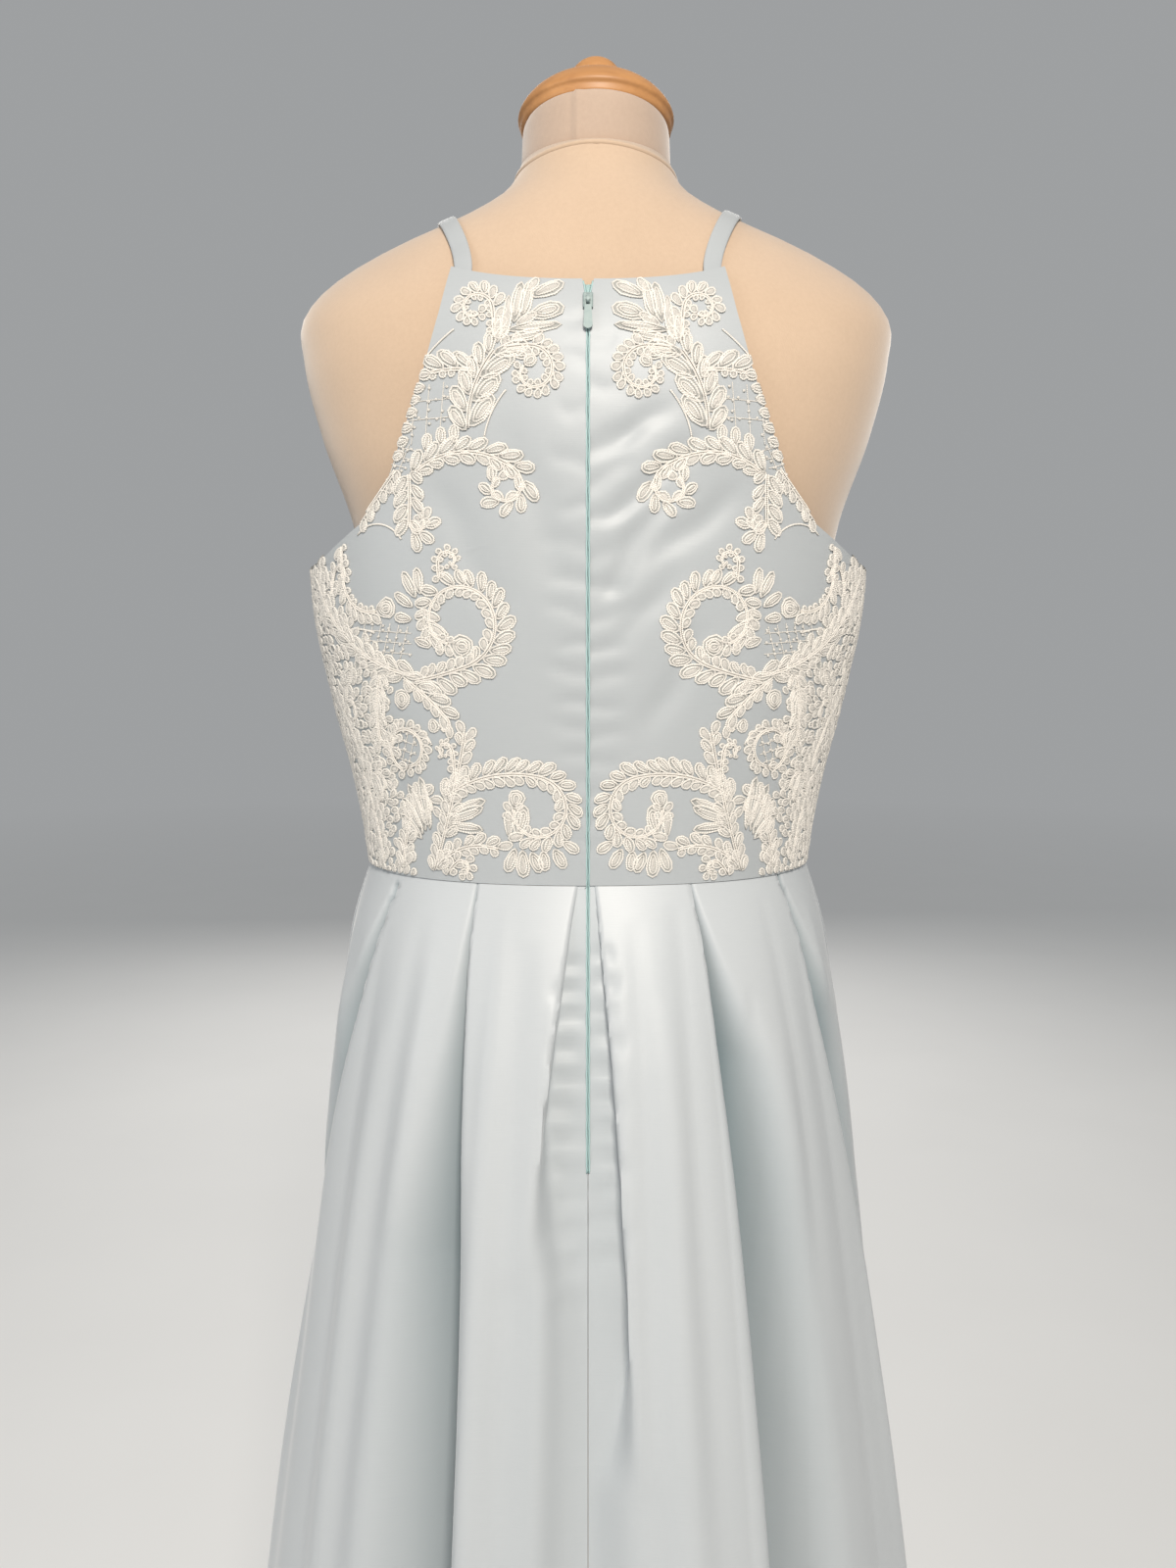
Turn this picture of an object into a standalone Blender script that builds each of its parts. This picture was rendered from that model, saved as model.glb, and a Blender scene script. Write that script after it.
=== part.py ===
"""Halter cocktail dress in pale blue satin, worn by a limbless dress form on a turned stand.

The front faces -Y and the zipped back faces +Y. Z is up and the floor is z = 0. Heights named "height"
are counted from the waist seam, upwards, and "drop" is counted from it downwards. An angle "phi" goes
round a section from the centre back (0) over the side (90 degrees) to the centre front (180 degrees).
The lace is laid out on the flat cloth: "across" is the distance along it from the centre line.
"""

import math

import bmesh
import bpy
import numpy as np

# Driving sizes, in metres
WAIST_Z = 1.000
SKIRT_LENGTH = 0.600
BODICE_WALL = 0.0015
SKIRT_WALL = 0.0012
SEAM_GAP = 0.0003
LACE_RISE = 0.0012
DRESS_SHIFT = 0.005
STRAP_WIDTH = 0.0105
STRAP_THICKNESS = 0.0020
STRAP_TUCK_GAP = 0.0008
STRAP_LIFT = 0.0006
NECK_SEAM_HEIGHT = 0.436
NECK_TOP_HEIGHT = 0.459
NECK_RADIUS = 0.0470
NECK_DEPTH = 0.0500
NECK_TILT = math.radians(7)
CAP_RADIUS = 0.0490
CAP_BAND = 0.0060
CAP_HEIGHT = 0.0240
KNOB_RADIUS = 0.0125
KNOB_HEIGHT = 0.0230
BASE_RADIUS = 0.200
BASE_THICKNESS = 0.024
POLE_RADIUS = 0.014

# The dress form: its horizontal sections, and the two soft mounds of its bust
FORM_COLUMNS = ("height", "half_width", "back", "front", "squareness")
FORM_SECTIONS = (
    (-0.280, 0.1500, 0.1080, 0.0950, 2.3),
    (-0.200, 0.1540, 0.1120, 0.0970, 2.3),
    (-0.100, 0.1450, 0.1030, 0.0950, 2.2),
    (0.000, 0.1300, 0.0920, 0.0880, 2.2),
    (0.050, 0.1310, 0.0920, 0.0900, 2.2),
    (0.100, 0.1370, 0.0960, 0.0980, 2.2),
    (0.160, 0.1480, 0.1010, 0.1120, 2.2),
    (0.215, 0.1555, 0.1045, 0.1200, 2.2),
    (0.270, 0.1740, 0.1055, 0.1080, 2.3),
    (0.315, 0.1840, 0.1010, 0.0890, 2.4),
    (0.340, 0.1850, 0.0940, 0.0770, 2.3),
    (0.360, 0.1700, 0.0860, 0.0680, 2.1),
    (0.380, 0.1370, 0.0780, 0.0600, 2.0),
    (0.400, 0.0890, 0.0690, 0.0540, 2.0),
    (0.4136, 0.0640, 0.0620, 0.0520, 2.0),
    (0.425, 0.0530, 0.0565, 0.0500, 2.0),
    (0.436, 0.0480, 0.0530, 0.0480, 2.0),
)
BUST_X = 0.078
BUST_HEIGHT = 0.195
BUST_RISE = 0.016
BUST_SPREAD_X = 0.042
BUST_SPREAD_Z = 0.050
FORM_FLOOR_HEIGHT = -0.290

# How much looser than the form the bodice is cut, at its sides, back and front
EASE_COLUMNS = ("height", "side", "back", "front")
EASE_ROWS = (
    (0.000, 0.0125, 0.0120, 0.0140),
    (0.050, 0.0190, 0.0130, 0.0140),
    (0.100, 0.0255, 0.0110, 0.0120),
    (0.160, 0.0265, 0.0080, 0.0110),
    (0.190, 0.0250, 0.0065, 0.0100),
    (0.240, 0.0150, 0.0050, 0.0080),
    (0.300, 0.0080, 0.0048, 0.0056),
    (0.380, 0.0060, 0.0048, 0.0052),
)

# The armhole edges, from underarm to top corner, by height and distance from the centre line
UNDERARM_HEIGHT = 0.184
ARMHOLE_COLUMNS = ("height", "across")
BACK_ARMHOLE = (
    (0.1900, 0.1640),
    (0.2105, 0.1320),
    (0.2340, 0.1140),
    (0.2610, 0.1035),
    (0.2936, 0.0915),
    (0.3250, 0.0830),
    (0.3520, 0.0770),
)
FRONT_ARMHOLE = (
    (0.1930, 0.1620),
    (0.2120, 0.1380),
    (0.2400, 0.1200),
    (0.2750, 0.1060),
    (0.3100, 0.0950),
    (0.3450, 0.0860),
    (0.3720, 0.0800),
)
BACK_TOP_HEIGHT = 0.342
FRONT_TOP_HEIGHT = 0.360
SIDE_SHARE = 0.56

# The skirt: the rings that its panels hang on, by drop below the waist seam
SKIRT_COLUMNS = ("drop", "half_width", "back", "front")
SKIRT_SECTIONS = (
    (0.000, 0.1427, 0.1042, 0.1022),
    (0.031, 0.1520, 0.1160, 0.1120),
    (0.085, 0.1650, 0.1330, 0.1270),
    (0.154, 0.1790, 0.1500, 0.1420),
    (0.220, 0.1890, 0.1620, 0.1530),
    (0.295, 0.1990, 0.1730, 0.1640),
    (0.367, 0.2085, 0.1820, 0.1740),
    (0.441, 0.2170, 0.1900, 0.1820),
    (0.516, 0.2240, 0.1970, 0.1900),
    (SKIRT_LENGTH, 0.2310, 0.2040, 0.1970),
)
SKIRT_SQUARENESS = 2.15

# Its pleats on one quarter: where round the quarter each valley lies (0 centre, 1 side seam), how deep and
# wide it hangs compared with the common valley, how far its floor runs under the panel before it, and how
# flat its floor is (2 is a bell, 4 a trough)
PLEAT_COLUMNS = ("place", "depth", "width", "lean", "flat")
PLEATS = (
    (0.000, 0.55, 1.50, 0.0, 4),
    (0.310, 1.00, 1.00, 0.9, 2),
    (0.610, 0.90, 0.95, 0.9, 2),
    (0.890, 0.65, 0.75, 0.8, 2),
)
VALLEY_COLUMNS = ("drop", "depth", "width")
VALLEY_ROWS = (
    (0.000, 0.0022, 0.0045),
    (0.040, 0.0090, 0.0080),
    (0.100, 0.0165, 0.0135),
    (0.200, 0.0240, 0.0205),
    (0.350, 0.0290, 0.0260),
    (SKIRT_LENGTH, 0.0330, 0.0310),
)
PANEL_BULGE = 0.004

# The straps, from the back's top corners over the shoulders to the front's, in the dress's own frame
STRAP_BACK_X = 0.0702
STRAP_TOP_X = 0.0890
STRAP_FRONT_X = 0.0740
STRAP_BACK_HEIGHT = 0.3430
STRAP_FRONT_HEIGHT = 0.3620
STRAP_EDGE_HEIGHT = 0.3560
STRAP_STEPS = 22

# The zip: a ridge of teeth between the back panels, on a tape behind them, with its slider near the top
ZIP_TOP_HEIGHT = 0.3390
ZIP_END_DROP = 0.1560
ZIP_RIDGE_HALF = 0.0008
ZIP_PROUD = 0.0003
ZIP_TAPE_HALF = 0.0080
ZIP_TAPE_THICKNESS = 0.0010
ZIP_TAPE_GAP = 0.0005
ZIP_OPEN_HALF = 0.0022
SLIDER_HEIGHT = 0.3290
SLIDER_TILT = math.radians(16)
SLIDER_WIDTH = 0.0056
SLIDER_LENGTH = 0.0090
SLIDER_THICKNESS = 0.0018
BRIDGE_WIDTH = 0.0018
BRIDGE_THICKNESS = 0.0007
BRIDGE_HALF_LENGTH = 0.0028
BRIDGE_RISE = 0.0020
BAR_HALF = 0.0005
BAR_RISE = 0.0011
PULL_LENGTH = 0.0175
PULL_TOP_HALF = 0.0019
PULL_BELLY_HALF = 0.0026
PULL_WINDOW_HALF = 0.0013
PULL_WINDOW_END = 0.0037
PULL_TILT = math.radians(12)

# The corded lace, laid on the flat cloth of one half, sizes in millimetres and angles in degrees. A scroll
# starts at a place, heading from the +across direction towards +height, runs on while it turns, and may end
# in a curl that spins in from its first radius. Petals of a given length stand on its left or right side.
MM = 0.001
LACE_COLUMNS = ("across", "height", "heading", "run", "turn", "curl", "spin", "left", "right", "petal")
LACE_SCROLLS = (
    (50, 303, 95, 24, -30, 9, -250, 1, 0, 7),
    (50, 303, 175, 20, -5, 11, 330, 0, 1, 8),
    (50, 305, -48, 46, -40, 0, 0, 0, 1, 13),
    (58, 297, -15, 38, 10, 0, 0, 1, 0, 12),
    (44, 308, 125, 26, 10, 0, 0, 1, 1, 9),
    (97, 238, 145, 58, 85, 13, 330, 1, 1, 9),
    (103, 238, -80, 30, -20, 5, -200, 1, 1, 8),
    (166, 190, 120, 8, 60, 6, 250, 0, 0, 6),
    (165, 190, -95, 45, -80, 5, -200, 1, 0, 8),
    (150, 155, -160, 26, -30, 8, -120, 1, 0, 8),
    (97, 122, 170, 40, -55, 21, -330, 1, 1, 10),
    (88, 174, 85, 10, 0, 6, 220, 0, 0, 6),
    (97, 123, 3, 105, 75, 0, 0, 1, 1, 10),
    (118, 125, -155, 40, 70, 5, 220, 0, 1, 11),
    (131, 126, -75, 85, -30, 0, 0, 1, 1, 10),
    (126, 90, 30, 10, -40, 13, -300, 1, 0, 7),
    (95, 4, 88, 36, 32, 0, 0, 1, 1, 9),
    (86, 38, 120, 46, -45, 6, -220, 1, 0, 10),
    (82, 47, 145, 48, 45, 24, 340, 1, 1, 9),
    (92, 22, 150, 36, 30, 5, 200, 1, 1, 8),
    (128, 6, 80, 50, -25, 8, -270, 1, 1, 10),
    (150, 6, 95, 60, 30, 9, 260, 1, 1, 10),
    (160, 60, 70, 50, -40, 9, -260, 1, 1, 10),
    (168, 110, 100, 46, 40, 9, 260, 1, 1, 10),
    (192, 10, 100, 60, 30, 9, 260, 1, 1, 10),
    (196, 90, 80, 60, -20, 9, -260, 1, 1, 10),
)

MATERIALS = {
    "satin": ((0.50, 0.62, 0.68), 0.40, 0.0),
    "lace_satin": ((0.62, 0.68, 0.70), 0.50, 0.0),
    "zip_teal": ((0.22, 0.42, 0.42), 0.50, 0.0),
    "zip_metal": ((0.52, 0.64, 0.66), 0.30, 0.6),
    "jersey": ((0.82, 0.66, 0.47), 0.85, 0.0),
    "beech": ((0.60, 0.32, 0.12), 0.35, 0.0),
}


def columns(names, rows):
    """The table as a dictionary of arrays, one for each named column."""
    return dict(zip(names, np.array(rows, float).T))


FORM = columns(FORM_COLUMNS, FORM_SECTIONS)
EASE = columns(EASE_COLUMNS, EASE_ROWS)
SKIRT = columns(SKIRT_COLUMNS, SKIRT_SECTIONS)
PLEAT = columns(PLEAT_COLUMNS, PLEATS)
VALLEY = columns(VALLEY_COLUMNS, VALLEY_ROWS)


def smooth(at, knots, values):
    """A smooth curve through a table's points: cubic pieces with each point's mean slope."""
    at = np.clip(np.asarray(at, float), knots[0], knots[-1])
    slope = np.gradient(values, knots)
    i = np.clip(np.searchsorted(knots, at) - 1, 0, len(knots) - 2)
    span = knots[i + 1] - knots[i]
    t = (at - knots[i]) / span
    rise = values[i + 1] - values[i]
    blend = t * t * (3 - 2 * t)
    lead = t * (1 - t) ** 2 * span * slope[i]
    trail = t * t * (t - 1) * span * slope[i + 1]
    return values[i] + rise * blend + lead + trail


def ring(phi, half_width, back, front, squareness):
    """A rounded section: (x, y) at an angle from the centre back, and its outward normal."""
    power = 2 / squareness
    s, c = np.sin(phi), np.cos(phi)
    depth = np.where(c >= 0, back, front)
    x = half_width * np.sign(s) * np.abs(s) ** power
    y = depth * np.sign(c) * np.abs(c) ** power
    nx = np.sign(s) * np.abs(s) ** (2 - power) / half_width
    ny = np.sign(c) * np.abs(c) ** (2 - power) / depth
    size = np.hypot(nx, ny)
    return x, y, nx / size, ny / size


def bust(x, y, height):
    """How far the two bust mounds push the front forward at a point of the section."""
    across = np.exp(-(((np.abs(x) - BUST_X) / BUST_SPREAD_X) ** 2))
    up = np.exp(-(((height - BUST_HEIGHT) / BUST_SPREAD_Z) ** 2))
    facing = np.clip(-y / 0.06, 0, 1)
    return BUST_RISE * across * up * facing


def form_sizes(height):
    return [smooth(height, FORM["height"], FORM[name]) for name in FORM_COLUMNS[1:]]


def form_point(phi, height, out=0.0):
    """A point of the dress form's skin, or out from it along the section's normal."""
    half_width, back, front, squareness = form_sizes(height)
    x, y, nx, ny = ring(phi, half_width, back, front, squareness)
    y = y - bust(x, y, height)
    return np.stack([x + nx * out, y + ny * out, WAIST_Z + height + 0 * x], axis=-1)


def bodice_sizes(height):
    """The form's section at a height, let out by the ease of the cut."""
    half_width, back, front, squareness = form_sizes(height)
    side, rear, fore = (smooth(height, EASE["height"], EASE[n]) for n in EASE_COLUMNS[1:])
    return half_width + side, back + rear, front + fore, squareness


def bodice_point(phi, height, out=0.0):
    """A point of the bodice's inner face, or out from it along the section's normal."""
    x, y, nx, ny = ring(phi, *bodice_sizes(height))
    y = y - bust(x, y, height)
    return np.stack([x + nx * out, y + ny * out, WAIST_Z + height + 0 * x], axis=-1)


def phi_of_x(x, height, front=False):
    """The angle at which the bodice's section reaches a distance from the centre line."""
    half_width, _, _, squareness = bodice_sizes(height)
    share = np.clip(x / half_width, 0, 1)
    phi = np.arcsin(share ** (squareness / 2))
    return math.pi - phi if front else phi


def phi_of_side(gap, height, front=False):
    """The angle at which the section is half a seam gap short of the side plane."""
    _, back, fore, squareness = bodice_sizes(height)
    share = (gap / np.where(front, fore, back)) ** (squareness / 2)
    phi = np.arccos(share)
    return math.pi - phi if front else phi


def add_object(name, data, material):
    data.materials.append(paint(material))
    obj = bpy.data.objects.new(name, data)
    PARTS.objects.link(obj)
    if not name.startswith(("form", "stand")):
        obj.parent = DRESS
    return obj


def paint(name):
    """The named material: a Principled shader with this part's colour, roughness and metallic value."""
    if name in bpy.data.materials:
        return bpy.data.materials[name]
    colour, roughness, metallic = MATERIALS[name]
    material = bpy.data.materials.new(name)
    material.use_nodes = True
    shader = material.node_tree.nodes["Principled BSDF"]
    shader.inputs["Base Color"].default_value = (*colour, 1)
    shader.inputs["Roughness"].default_value = roughness
    shader.inputs["Metallic"].default_value = metallic
    return material


def mesh_of(name, points, faces):
    mesh = bpy.data.meshes.new(name)
    mesh.from_pydata([tuple(p) for p in points], [], faces)
    mesh.update()
    mesh.shade_smooth()
    return mesh


def grid_faces(rows, cols, first, flip):
    """Quads of a grid of rows by cols cells whose points start at number first, row by row."""
    faces = []
    for r in range(rows):
        for c in range(cols):
            a = first + r * (cols + 1) + c
            quad = (a, a + 1, a + cols + 2, a + cols + 1)
            faces.append(quad[::-1] if flip else quad)
    return faces


def border(rows, cols, first):
    """The numbers of a grid's edge points, once round."""
    places = [(0, c) for c in range(cols)] + [(r, cols) for r in range(rows)]
    places += [(rows, c) for c in range(cols, 0, -1)] + [(r, 0) for r in range(rows, 0, -1)]
    return [first + r * (cols + 1) + c for r, c in places]


def wall(name, outer, inner, material, flip=False):
    """A closed wall between two grids of points. The outer grid may have finer cells than the inner one."""
    rows, cols = outer.shape[0] - 1, outer.shape[1] - 1
    inner_rows, inner_cols = inner.shape[0] - 1, inner.shape[1] - 1
    finer = rows // inner_rows
    points = np.concatenate([outer.reshape(-1, 3), inner.reshape(-1, 3)])
    start = outer.shape[0] * outer.shape[1]
    faces = grid_faces(rows, cols, 0, flip)
    faces += grid_faces(inner_rows, inner_cols, start, not flip)
    outside = border(rows, cols, 0)
    inside = border(inner_rows, inner_cols, start)
    for i, near in enumerate(inside):
        after = inside[(i + 1) % len(inside)]
        along = [outside[(i * finer + k) % len(outside)] for k in range(finer + 1)]
        middle = (finer + 1) // 2
        rim = [(near, along[k + 1], along[k]) for k in range(middle)]
        rim += [(after, along[k + 1], along[k]) for k in range(middle, finer)]
        rim.append((near, after, along[middle]))
        faces += [face[::-1] if flip else face for face in rim]
    return add_object(name, mesh_of(name, points, faces), material)


def lofted(name, rings, material):
    """A solid through closed rings of points, each end closed by a fan round its middle."""
    count, around = rings.shape[:2]
    ends = [rings[0].mean(axis=0), rings[-1].mean(axis=0)]
    points = np.concatenate([rings.reshape(-1, 3), ends])
    faces = []
    for r in range(count - 1):
        for c in range(around):
            a, b = r * around + c, r * around + (c + 1) % around
            faces.append((a, b, b + around, a + around))
    last = (count - 1) * around
    for c in range(around):
        after = (c + 1) % around
        faces.append((count * around, after, c))
        faces.append((count * around + 1, last + c, last + after))
    return add_object(name, mesh_of(name, points, faces), material)


def turned(name, profile, material, steps=36):
    """A turned solid: a profile of (radius, z) points, top to bottom, carried round the Z axis."""
    mesh = bpy.data.meshes.new(name)
    edges = [(i, i + 1) for i in range(len(profile) - 1)]
    mesh.from_pydata([(radius, 0, z) for radius, z in profile], edges, [])
    obj = add_object(name, mesh, material)
    screw = obj.modifiers.new("turn", "SCREW")
    screw.axis = "Z"
    screw.steps = screw.render_steps = steps
    screw.use_merge_vertices = True
    screw.merge_threshold = 0.0001
    screw.use_smooth_shade = True
    return obj


def arc(centre_r, centre_z, radius, start, end, count):
    """Points of an arc in the (radius, z) plane, angles in degrees from straight out."""
    angles = np.radians(np.linspace(start, end, count))
    return [(centre_r + radius * math.cos(a), centre_z + radius * math.sin(a)) for a in angles]


FORM_AROUND = 36
FORM_HEIGHTS = (
    -0.2900, -0.2880, -0.2780, -0.2400, -0.2000, -0.1500, -0.1000, -0.0500, 0.0000, 0.0500, 0.1000,
    0.1350, 0.1650, 0.1950, 0.2250, 0.2550, 0.2850, 0.3100, 0.3280, 0.3400, 0.3500, 0.3600,
    0.3700, 0.3800, 0.3900, 0.4000, 0.4068, 0.4136, 0.4250, 0.4357,
)
FORM_FOOT_ROUNDING = (0.920, 0.965, 1.0)


def make_form():
    """The padded torso: rings from the rounded foot of the hips up to the seam below the neck."""
    phi = np.linspace(0, 2 * math.pi, FORM_AROUND, endpoint=False)
    rings = [form_point(phi, np.full_like(phi, height)) for height in FORM_HEIGHTS]
    for loop, share in zip(rings, FORM_FOOT_ROUNDING):
        loop[:, :2] *= share
    lofted("form_torso", np.array(rings)[:, ::-1], "jersey")


def make_neck():
    """The jersey neck above its seam, cut on a slant, with the wooden cap on it and a knob on the cap."""
    seam = WAIST_Z + NECK_SEAM_HEIGHT
    top = WAIST_Z + NECK_TOP_HEIGHT
    phi = np.linspace(0, 2 * math.pi, FORM_AROUND, endpoint=False)
    rings = []
    for share in (0.0, 0.5, 1.0):
        x, y, _, _ = ring(phi, NECK_RADIUS - 0.001 * share, NECK_DEPTH, NECK_DEPTH - 0.002, 2.0)
        z = seam + share * (top - SEAM_GAP - seam + y * math.tan(NECK_TILT))
        rings.append(np.stack([x, y, z], axis=-1))
    lofted("form_neck", np.array(rings)[:, ::-1], "jersey")
    profile = [(0.0, CAP_HEIGHT), (0.012, CAP_HEIGHT), (0.022, CAP_HEIGHT - 0.0018)]
    profile += [(0.034, CAP_HEIGHT - 0.0070), (0.043, CAP_BAND + 0.0042)]
    profile += [(CAP_RADIUS - 0.0015, CAP_BAND + 0.0004), (CAP_RADIUS, CAP_BAND - 0.0010)]
    profile += [(CAP_RADIUS, 0.0015), (CAP_RADIUS - 0.0015, 0.0), (0.0, 0.0)]
    cap = turned("form_neck_cap", profile, "beech")
    profile = [(0.0, KNOB_HEIGHT)]
    for wide, high in ((0.55, 0.96), (0.88, 0.82), (1.0, 0.58), (0.92, 0.34), (0.70, 0.16), (0.64, 0.0)):
        profile.append((KNOB_RADIUS * wide, KNOB_HEIGHT * high))
    profile.append((0.0, 0.0))
    knob = turned("form_neck_knob", profile, "beech", 24)
    axis = np.array([0.0, -math.sin(NECK_TILT), math.cos(NECK_TILT)])
    for obj, up in ((cap, 0.0), (knob, CAP_HEIGHT + SEAM_GAP)):
        obj.location = np.array([0.0, 0.001, top]) + axis * up
        obj.rotation_euler = (NECK_TILT, 0.0, 0.0)


def make_stand():
    """The turned stand: a weighted round base that lies flat on the floor, a collar and a pole."""
    edge = 0.008
    crown = BASE_THICKNESS + 0.006
    profile = [(0.0, crown), (0.060, crown)]
    profile += arc(BASE_RADIUS - edge, BASE_THICKNESS - edge, edge, 80, 0, 4)
    profile += [(BASE_RADIUS, 0.002), (BASE_RADIUS - 0.002, 0.0), (0.0, 0.0)]
    turned("stand_base", profile, "beech", 48)
    foot = crown + SEAM_GAP
    profile = [(0.0, foot + 0.035), (POLE_RADIUS + 0.004, foot + 0.035)]
    profile += [(POLE_RADIUS + 0.008, foot + 0.028), (POLE_RADIUS + 0.014, foot + 0.012)]
    profile += [(0.036, foot + 0.005), (0.036, foot), (0.0, foot)]
    turned("stand_collar", profile, "beech", 32)
    low = foot + 0.035 + SEAM_GAP
    high = WAIST_Z + FORM_FLOOR_HEIGHT - 0.012 - 2 * SEAM_GAP
    profile = [(0.0, high), (POLE_RADIUS, high), (POLE_RADIUS, low), (0.0, low)]
    turned("stand_pole", profile, "beech", 24)
    plate = high + SEAM_GAP
    profile = [(0.0, plate + 0.012), (0.045, plate + 0.012), (0.045, plate + 0.003)]
    profile += [(0.041, plate), (0.0, plate)]
    turned("stand_plate", profile, "beech", 32)


def panel_grid(rows, cols, armhole, top_height, front, inset):
    """Angles and heights over a bodice panel, from its centre line, or beside it, to its side edge."""
    table = columns(ARMHOLE_COLUMNS, armhole)
    v = np.linspace(0, 1, rows + 1)
    half_width = float(bodice_sizes(np.array(UNDERARM_HEIGHT))[0])
    knots = np.append(UNDERARM_HEIGHT, table["height"])
    across = np.append(half_width, table["across"])
    run = np.append(0, np.cumsum(np.hypot(np.diff(knots), np.diff(across))))
    reach = np.clip((v - SIDE_SHARE) / (1 - SIDE_SHARE), 0, 1) * run[-1]
    on_side = v <= SIDE_SHARE
    edge_height = np.where(on_side, UNDERARM_HEIGHT * v / SIDE_SHARE, np.interp(reach, run, knots))
    side_phi = phi_of_side(SEAM_GAP / 2, edge_height, front)
    edge_phi = np.where(on_side, side_phi, phi_of_x(np.interp(reach, run, across), edge_height, front))
    centre_height = top_height * v
    start_phi = phi_of_x(inset(centre_height), centre_height, front)
    u = np.linspace(0, 1, cols + 1)[None, :]
    phi = start_phi[:, None] + (edge_phi - start_phi)[:, None] * u
    height = centre_height[:, None] + (edge_height - centre_height)[:, None] * u**2
    return phi, height


def zip_gap(height):
    """Half the gap between the back panels: even beside the closed teeth, a V above the slider."""
    open_share = np.clip((height - SLIDER_HEIGHT) / (BACK_TOP_HEIGHT - SLIDER_HEIGHT), 0, 1)
    return ZIP_RIDGE_HALF + SEAM_GAP + ZIP_OPEN_HALF * open_share


def no_gap(height):
    return 0 * height


def spine(row):
    """Points along a scroll's middle, 2 mm apart, in metres on the flat cloth."""
    scroll = dict(zip(LACE_COLUMNS, row))
    count = max(2, round(scroll["run"] / 2))
    step = np.full(count, scroll["run"] / count)
    angle = scroll["heading"] + scroll["turn"] * (np.arange(count) + 0.5) / count
    if scroll["curl"]:
        length = scroll["curl"] * 0.7 * math.radians(abs(scroll["spin"]))
        more = max(3, round(length / 2))
        part = (np.arange(more) + 0.5) / more
        radius = scroll["curl"] * (1 - 0.6 * part)
        bend = np.radians(abs(scroll["spin"])) / more
        step = np.append(step, radius * bend)
        angle = np.append(angle, scroll["heading"] + scroll["turn"] + scroll["spin"] * part)
    angle = np.radians(angle)
    across = scroll["across"] + np.append(0, np.cumsum(step * np.cos(angle)))
    height = scroll["height"] + np.append(0, np.cumsum(step * np.sin(angle)))
    return np.stack([across, height], axis=-1) * MM


def cloth_distance(phi, height, front):
    """How far along the cloth a point lies from the centre line, at its own height."""
    fine = np.linspace(0, 1, 61)
    turned = phi[..., None] * fine
    if front:
        turned = math.pi - (math.pi - phi[..., None]) * fine
    sizes = [np.asarray(size)[..., None] for size in bodice_sizes(height)]
    x, y, _, _ = ring(turned, *sizes)
    return np.hypot(np.diff(x, axis=-1), np.diff(y, axis=-1)).sum(axis=-1)


def lace_rise(phi, height, front):
    """How far the lace lifts the panel's outer face: fully over the scrolls and their petals."""
    across = cloth_distance(phi, height, front)
    rise = np.zeros_like(across)
    for row in LACE_SCROLLS:
        reach = row[-1] * MM * 0.8
        for a, h in spine(row):
            away = np.hypot(across - a, height - h)
            rise = np.maximum(rise, np.clip(1.5 - away / reach, 0, 1))
    return LACE_RISE * rise


BACK_ROWS, BACK_COLS = 32, 26
FRONT_ROWS, FRONT_COLS = 24, 18


def mirrored(grid):
    return grid * np.array([-1.0, 1.0, 1.0])


def both_halves(grid):
    """A grid and its mirror image, joined at the centre line."""
    return np.concatenate([mirrored(grid)[:, :0:-1], grid], axis=1)


def panel_faces(rows, cols, *cut):
    """The outer and inner points of a bodice panel: finer cells outside, where the lace lifts it."""
    phi, height = panel_grid(rows, cols, *cut)
    outer = bodice_point(phi, height, BODICE_WALL + lace_rise(phi, height, cut[2]))
    inner = bodice_point(phi[::2, ::2], height[::2, ::2])
    return outer, inner


def make_bodice():
    """Two back panels, either side of the zip, and one front, with the lace raised in their outer faces."""
    outer, inner = panel_faces(BACK_ROWS, BACK_COLS, BACK_ARMHOLE, BACK_TOP_HEIGHT, False, zip_gap)
    wall("bodice_back_left", mirrored(outer), mirrored(inner), "lace_satin")
    wall("bodice_back_right", outer, inner, "lace_satin", flip=True)
    outer, inner = panel_faces(FRONT_ROWS, FRONT_COLS, FRONT_ARMHOLE, FRONT_TOP_HEIGHT, True, no_gap)
    wall("bodice_front", both_halves(outer), both_halves(inner), "lace_satin")


def form_level(x, y, height):
    """1 on the form's skin at a point, less inside it and more outside."""
    half_width, back, front, squareness = form_sizes(height)
    depth = np.where(y > 0, back, front)
    return (np.abs(x) / half_width) ** squareness + (np.abs(y) / depth) ** squareness


def skin_y(x, height, front):
    """How far back, or forward, the form's skin lies at a distance from its axis."""
    half_width, back, fore, squareness = form_sizes(height)
    inside = np.clip(1 - (np.abs(x) / half_width) ** squareness, 0, 1) ** (1 / squareness)
    return -fore * inside if front else back * inside


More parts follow.
